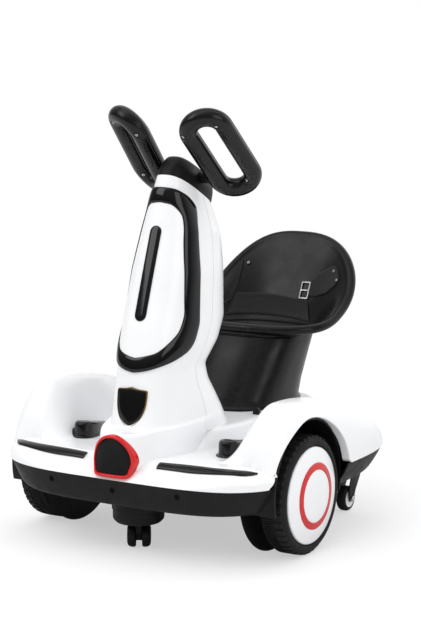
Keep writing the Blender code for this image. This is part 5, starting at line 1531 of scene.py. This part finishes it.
def make_wheels(sizes):
    """Both drive wheels: tyre, dark rim, flat white disc and its red ring."""
    for label, side in LEFT_AND_RIGHT:
        centre, inner, outer = WHEEL_CENTRE, TYRE_INNER, TYRE_OUTER
        body = label + "_drive_wheel"
        make_tyre(label, side, sizes)
        rim = rounded([(0.0064, HALF_TRACK - 0.018), (0.016, HALF_TRACK - 0.018),
                       (0.016, HALF_TRACK - 0.003), (0.0715, HALF_TRACK - 0.003), (0.0715, inner + 0.003),
                       (0.0765, inner + 0.003), (0.0765, outer - 0.003), (0.0715, outer - 0.003),
                       (0.0715, HALF_TRACK + 0.003), (0.0064, HALF_TRACK + 0.003)],
                      [0, 0.001, 0.003, 0.003, 0.001, 0.001, 0, 0, 0.002, 0], 3)
        make_piece(label + "_rim_fine", spin(rim, centre, 96, side=side), "grey_plastic",
                   body, [label + "_rim"], angle=45)
        ribs = prism([(-0.0012, -0.030), (0.0012, -0.030), (0.0012, 0.0238), (-0.0012, 0.0238)],
                     side * (HALF_TRACK - 0.014), side * (HALF_TRACK - 0.0025))
        ring_of_copies(label + "_rim_spokes", make_copy("rib_copy", ribs), 8, 0.0465, centre,
                       "grey_plastic", body)
        middle = cap_face(0.050) - 0.0012
        face = [(0.0, cap_face(0.0))] + [(r, cap_face(r)) for r in np.linspace(0.006, 0.0430, 9)]
        face += [(0.0437, cap_face(0.0437) - 0.0002), (0.0440, cap_face(0.044) - 0.0006), (0.0440, middle),
                 (0.0560, middle), (0.0560, cap_face(0.056) - 0.0006), (0.0563, cap_face(0.0563) - 0.0002)]
        face += [(r, cap_face(r)) for r in np.linspace(0.0570, 0.0785, 9)]
        face += [(0.0798, cap_face(0.0798) - 0.0001), (0.0807, cap_face(0.0807) - 0.0008),
                 (0.0810, cap_face(0.081) - 0.0018), (0.0810, outer - 0.0026), (0.066, outer - 0.0026),
                 (0.062, cap_face(0.070) - 0.003), (0.0, middle - 0.002)]
        make_piece(label + "_disc", spin(face, centre, 144, side=side), "white_gloss", body,
                   [label + "_wheel_cap"], angle=45)
        low, high = 0.0443, 0.0557
        ring = [(low, middle + 0.0002), (low, cap_face(low) - 0.0001),
                (low + 0.0006, cap_face(low) + 0.0004)]
        ring += [(r, cap_face(r) + 0.0005) for r in np.linspace(low + 0.0014, high - 0.0014, 5)]
        ring += [(high - 0.0006, cap_face(high) + 0.0004), (high, cap_face(high) - 0.0001),
                 (high, middle + 0.0002)]
        make_piece(label + "_accent_ring", spin(ring, centre, 144, side=side), "red_gloss",
                   body, [label + "_wheel_ring"], angle=45)


def make_front_caster():
    """Round housing and a swivelling fork between twin wheels."""
    centre = Vector((0, -0.108, 0))
    housing = rounded([(0.0065, 0.048), (0.037, 0.048), (0.043, 0.054), (0.0432, 0.0700), (0.0448, 0.0712),
                       (0.0448, 0.0876), (0.0065, 0.0876)], [0, 0.002, 0.003, 0.001, 0.001, 0, 0], 4)
    make_piece("front_caster_cup", spin(housing, centre, 96, (0, 0, 1)), "black_plastic",
               stands_for=["front_caster_housing"], angle=45)
    turn = Matrix.Rotation(math.radians(31), 3, "Z")
    axis, back = turn @ Vector((1, 0, 0)), turn @ Vector((0, 1, 0))
    trail, r = 0.014, 0.020
    hub = centre + back * trail + Vector((0, 0, r))
    outline = rounded([(-0.0075, 0.0455), (0.0075, 0.0455), (0.013, 0.0425), (0.0235, 0.034),
                       (0.0290, 0.022), (0.0245, 0.0125), (0.012, 0.0105), (0.003, 0.016),
                       (-0.0040, 0.030)], 0.003, 4)
    fork = shaped("front_fork", placed(prism(outline, -0.0048, 0.0048), turn, centre))
    carve(fork, ("UNION", cylinder(centre, 0.006, 0.040, 0.084, 32, (0, 0, 1))),
          ("DIFFERENCE", cylinder(hub, 0.0024, -0.02, 0.02, 20, axis)))
    soften(fork, 0.0009)
    dress(fork, "black_plastic", "front_swivel", ["front_caster_fork"])
    for sign, label in ((1, "right"), (-1, "left")):
        start, end = 0.0053, 0.0198
        profile = rounded([(0.0024, start), (r - 0.002, start), (r, start + 0.002), (r, start + 0.008),
                           (r - 0.0025, end - 0.0016), (r - 0.0065, end), (r - 0.0075, end - 0.0012),
                           (0.0065, end - 0.0012), (0.0055, end), (0.0024, end)],
                          [0, 0.0008, 0.001, 0.002, 0.002, 0.0005, 0.0005, 0.0005, 0.0005, 0], 4)
        wheel = spin([(radius, place * sign) for radius, place in profile], hub, 72, axis)
        make_piece("front_roller_" + label, wheel, "black_plastic",
                   "front_%s_roller" % label, ["front_caster_wheel_" + label], angle=40)


def make_rear_casters():
    """Stamped fork, tyred wheel with a pale hub, and a bright bolt."""
    plate_high = 0.070 + 0.002 - 0.0004
    inside, thick, low = 0.0100, 0.0022, plate_high - 0.003
    reach = inside + thick + 0.0004
    r, half = 0.0225, 0.0090
    for label, side in LEFT_AND_RIGHT:
        swivel = Vector((side * SWIVEL_X, SWIVEL_Y, 0))
        hub = swivel + Vector((0, -0.020, r))
        outline = rounded([(-0.028, 0.0185), (-0.013, 0.0155), (-0.004, 0.0365), (0.014, low - 0.008),
                           (0.016, plate_high), (-0.018, plate_high), (-0.029, 0.0405)],
                          [0.005, 0.005, 0.004, 0.004, 0.0015, 0.0015, 0.006], 4)
        shell = placed(prism(outline, -inside - thick, inside + thick), Matrix.Identity(3), swivel)
        fork = shaped(label + "_rear_fork", shell)
        carve(fork, ("DIFFERENCE", box_shape((swivel.x - inside, swivel.y - 0.06, -0.01),
                                             (swivel.x + inside, swivel.y + 0.06, low))),
              ("UNION", cylinder(swivel, 0.006, low + 0.001, 0.082, 32, (0, 0, 1))),
              ("DIFFERENCE", cylinder(hub, 0.0034, -0.03, 0.03, 24)))
        soften(fork, 0.0007)
        dress(fork, "black_plastic", label + "_rear_swivel", [label + "_rear_caster_fork"])
        bolt = rounded([(0.0, -reach - 0.0036), (0.0048, -reach - 0.0036), (0.0055, -reach - 0.0028),
                        (0.0055, -reach), (0.003, -reach), (0.003, reach), (0.0055, reach),
                        (0.0055, reach + 0.0028), (0.0048, reach + 0.0036), (0.0, reach + 0.0036)],
                       [0, 0.0006, 0.0006, 0, 0, 0, 0, 0.0006, 0.0006, 0], 3, closed=False)
        make_piece(label + "_rear_bolt", spin(bolt, hub, 48), "chrome",
                   label + "_rear_swivel", [label + "_rear_caster_bolt"], angle=35)
        tyre = rounded([(0.0155, -half + 0.0005), (r - 0.003, -half), (r, -half + 0.004), (r, half - 0.004),
                        (r - 0.003, half), (0.0155, half - 0.0005)],
                       [0, 0.002, 0.003, 0.003, 0.002, 0], 4)
        make_piece(label + "_rear_tyre", spin(tyre, hub, 80), "rubber",
                   label + "_rear_roller", [label + "_rear_caster_wheel"], angle=45)
        inboard = [(0.0034, -half), (0.0066, -half), (0.0070, -half + 0.0022), (0.0136, -half + 0.0022),
                   (0.0142, -half + 0.0002), (0.0156, -half + 0.0002)]
        core = rounded(inboard + [(radius, -place) for radius, place in reversed(inboard)],
                       [0] + [0.0005] * 10 + [0], 3)
        make_piece(label + "_rear_hub", spin(core, hub, 80), "white_gloss",
                   label + "_rear_roller", angle=40)


def skirt_places():
    """Where the three screws stand in the dark skirt, and which way they face."""
    return [(Vector((x, -0.1831 if x else -0.1855, 0.1205 if x else 0.1165)),
             Vector((x * 0.8, -1, -0.16)).normalized()) for x in (-0.123, 0.0, 0.123)]


def make_skirt_screws(sizes):
    """Screws deep in the dark skirt's holes, under the apron."""
    places = [(spot - normal * 0.0022, normal) for spot, normal in skirt_places()]
    make_cups("skirt_cups", places, "chassis")
    make_screws("skirt_screws", [(spot - normal * 0.0012, normal) for spot, normal in places], "chassis",
                sizes, "black_plastic", 0.8)


KEPT = {
    "bare_steel": ("column_post", "pivot_rod", "left_return_spring", "right_return_spring",
                   "left_drive_axle", "right_drive_axle", "front_caster_axle"),
    "black_plastic": ("left_gear_motor", "right_gear_motor"),
    "battery_case": ("battery",),
    "circuit_green": ("control_board",),
}


def dress_inside():
    """Materials for the CAD nodes that stay: post, rod, springs, axles, motors, battery and board."""
    for finish, names in KEPT.items():
        for name in names:
            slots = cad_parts[name].material_slots
            for place in slots:
                place.material = bpy.data.materials["finish_" + finish]


# Stage


def make_surround():
    """A white surround that the camera and soft light see, and a darker one for mirror rays."""
    world = bpy.context.scene.world or bpy.data.worlds.new("surround")
    bpy.context.scene.world = world
    world.use_nodes = True
    tree = world.node_tree
    tree.nodes.clear()
    path = add_node(tree, "ShaderNodeLightPath").outputs
    seen = add_node(tree, "ShaderNodeMath", {0: path["Is Camera Ray"], 1: path["Is Transmission Ray"]},
                    operation="MAXIMUM").outputs[0]
    direction = add_node(tree, "ShaderNodeTexCoord").outputs["Generated"]
    toward = add_node(tree, "ShaderNodeSeparateXYZ", {"Vector": direction}).outputs
    soft = spread(tree, toward["Z"], 0.88, 1.04, 0.0, 0.9)
    # Mirror rays find the white backdrop behind the scooter and a dim room in front of it
    room = spread(tree, toward["Z"], 0.10, 0.50, 0.0, 1.0)
    behind = spread(tree, toward["Y"], 0, 1, 0.15, 0.7)
    mirrored = add_node(tree, "ShaderNodeMix", {0: behind, 2: room, 3: 1.0}).outputs[0]
    unlike = add_node(tree, "ShaderNodeMix", {0: path["Is Glossy Ray"], 2: soft, 3: mirrored}).outputs[0]
    lit = add_node(tree, "ShaderNodeBackground", {"Strength": unlike, "Color": (1, 1, 1, 1)}).outputs[0]
    white = add_node(tree, "ShaderNodeBackground", {"Color": (1, 1, 1, 1), "Strength": 1.0}).outputs[0]
    both = add_node(tree, "ShaderNodeMixShader", {0: seen, 1: lit, 2: white}).outputs[0]
    add_node(tree, "ShaderNodeOutputWorld", {"Surface": both})


def make_floor(colours):
    """A pale matt floor."""
    made = bpy.data.materials.new("stage_floor")
    made.use_nodes = True
    tree = made.node_tree
    shader = tree.nodes["Principled BSDF"]
    coords = add_node(tree, "ShaderNodeTexCoord").outputs["Object"]
    faint = noise(tree, coords, 0.8)
    colour = tuple(colours.floor)
    pale = blend_colour(tree, faint, tuple(c * 0.995 for c in colour), colour)
    seen = add_node(tree, "ShaderNodeLightPath").outputs["Is Camera Ray"]
    greyer = (0.66, 0.66, 0.66, 1)
    tree.links.new(add_node(tree, "ShaderNodeMix", {0: seen, 6: greyer, 7: pale},
                            data_type="RGBA").outputs[2], shader.inputs["Base Color"])
    tree.links.new(spread(tree, faint, 0.85, 0.95), shader.inputs["Roughness"])
    shader.inputs["Specular IOR Level"].default_value = 0.1
    # Seen by the camera, the floor's shadow is lightened and its far part is the backdrop's white
    away = add_node(tree, "ShaderNodeVectorMath", {0: coords}, operation="LENGTH").outputs["Value"]
    share = add_node(tree, "ShaderNodeMath", {0: spread(tree, away, 0.50, 1.0, 0.7, 1.8), 1: seen},
                     operation="MULTIPLY").outputs[0]
    glow = add_node(tree, "ShaderNodeEmission", {"Color": (1, 1, 1, 1), "Strength": 1.0}).outputs[0]
    both = add_node(tree, "ShaderNodeMixShader", {0: share, 1: shader.outputs[0], 2: glow}).outputs[0]
    tree.links.new(both, tree.nodes["Material Output"].inputs["Surface"])
    mesh = bpy.data.meshes.new("floor")
    mesh.from_pydata([(-9, -9, 0), (9, -9, 0), (9, 9, 0), (-9, 9, 0)], [], [(0, 1, 2, 3)])
    mesh.materials.append(made)
    floor = make_object("floor", mesh)


LAMPS = (
    # name, place, aim, size in metres, watts
    ("key", (-1.5, -1.9, 2.1), (0, 0, 0.35), 1.3, 12),
    ("fill", (2.4, -0.9, 1.5), (0, 0, 0.35), 1.4, 10),
    ("top", (0.0, 0.1, 2.6), (0, 0, 0), 1.8, 3),
    ("rear", (0.6, 2.6, 1.6), (0, 0, 0.3), 1.6, 6),
)


def make_lamps():
    """A soft studio's area lamps and a broad, weak sun."""
    for name, spot, aim, size, power in LAMPS:
        data = bpy.data.lights.new(name, "AREA")
        data.energy = power
        data.size = size
        lamp = make_object(name, data)
        lamp.location = spot
        lamp.rotation_euler = (Vector(aim) - Vector(spot)).to_track_quat("-Z", "Y").to_euler()
    data = bpy.data.lights.new("sky", "SUN")
    data.energy = 0.35
    data.angle = math.radians(50)
    make_object("sky", data).rotation_euler = (math.radians(22), math.radians(-18), 0)


def make_camera():
    """The photograph's camera, solved from the object's sizes."""
    azimuth, elevation = math.radians(31.228), math.radians(8.984)
    spot = (1.7558, -2.7733 + AXLE_Y, 0.8984)
    back = Vector((math.sin(azimuth) * math.cos(elevation), -math.cos(azimuth) * math.cos(elevation),
                   math.sin(elevation)))
    right = Vector((math.cos(azimuth), math.sin(azimuth), 0))
    up = back.cross(right)
    data = bpy.data.cameras.new("camera")
    data.lens = 112.4
    data.sensor_width = 36
    data.clip_end = 40
    made = make_object("camera", data)
    turn = Matrix((right, up, back)).transposed().to_4x4()
    made.matrix_world = Matrix.Translation(spot) @ turn
    bpy.context.scene.camera = made
    bpy.context.scene.view_settings.view_transform = "Standard"


# Operators and panel


def operator(name, label, text, *steps):
    """An operator class that runs building steps with the scene's sizes."""

    def execute(self, context):
        for step in steps:
            step(context.scene.scooter_sizes)
        return {"FINISHED"}

    return type("SCOOTER_OT_" + name, (bpy.types.Operator,),
                {"bl_idname": "scooter." + name, "bl_label": label, "__doc__": text, "execute": execute})


class SCOOTER_OT_materials(bpy.types.Operator):
    """Make every material, and dress the pieces that stay from the frame."""
    bl_idname = "scooter.materials"
    bl_label = "Materials"

    def execute(self, context):
        make_materials(context.scene.scooter_colours)
        dress_inside()
        return {"FINISHED"}


class SCOOTER_OT_stage(bpy.types.Operator):
    """Make the floor, the surround, the lights and the camera."""
    bl_idname = "scooter.stage"
    bl_label = "Stage"

    def execute(self, context):
        make_surround()
        make_floor(context.scene.scooter_colours)
        make_lamps()
        make_camera()
        return {"FINISHED"}


def without_sizes(step):
    """A step that takes no sizes, as one that does."""
    return lambda sizes: step()


PIECES = (
    operator("body", "Body moulding", "Make the white body with its arches.", make_body),
    operator("tub", "Lower tub", "Make the dark tub and its screws.", make_tub, make_skirt_screws),
    operator("column", "Column", "Make the white column covers.", make_column),
    operator("trim", "Column trim", "Make the loop, plate, pill and shield.", without_sizes(make_loop),
             without_sizes(make_strip), without_sizes(make_badge)),
    operator("nose", "Nose", "Make the nose panel and its border.", without_sizes(make_nose)),
    operator("pods", "Pods and bars", "Make the lamp pods and the apron bars.", without_sizes(make_pods),
             without_sizes(make_bars)),
    operator("seat", "Seat", "Make the bucket and its pedestal.", make_seat),
    operator("belt", "Belt", "Make the waist belt and its hardware.", make_belt),
    operator("console", "Console", "Make the console cap and its buttons.", without_sizes(make_console)),
    operator("levers", "Ring levers", "Make both ring levers.", make_levers),
    operator("wheels", "Drive wheels", "Make both drive wheels.", make_wheels),
    operator("casters", "Casters", "Make the casters.", without_sizes(make_front_caster),
             without_sizes(make_rear_casters)),
)


class SCOOTER_PT_panel(bpy.types.Panel):
    """The scooter's sizes, colours and builders."""
    bl_label = "Drift scooter"
    bl_space_type = "VIEW_3D"
    bl_region_type = "UI"
    bl_category = "Scooter"

    def draw(self, context):
        for group in (context.scene.scooter_sizes, context.scene.scooter_colours):
            for name in group.__annotations__:
                self.layout.prop(group, name)
        for piece in (SCOOTER_OT_materials, *PIECES, SCOOTER_OT_stage):
            self.layout.operator(piece.bl_idname)


CLASSES = (ScooterSizes, ScooterColours, SCOOTER_OT_materials, *PIECES, SCOOTER_OT_stage,
           SCOOTER_PT_panel)


def register():
    """Add the classes and the scene's settings."""
    for item in CLASSES:
        bpy.utils.register_class(item)
    bpy.types.Scene.scooter_sizes = PointerProperty(type=ScooterSizes)
    bpy.types.Scene.scooter_colours = PointerProperty(type=ScooterColours)


def unregister():
    """Take them away again."""
    del bpy.types.Scene.scooter_sizes
    del bpy.types.Scene.scooter_colours
    for item in reversed(CLASSES):
        bpy.utils.unregister_class(item)


def main():
    """Build every piece and the stage, and write down how the size compares with the frame's."""
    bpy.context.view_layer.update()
    register()
    bpy.ops.scooter.materials()
    for piece in PIECES:
        getattr(bpy.ops.scooter, piece.bl_idname.split(".")[1])()
    bpy.ops.scooter.stage()


if __name__ == "__main__":
    main()
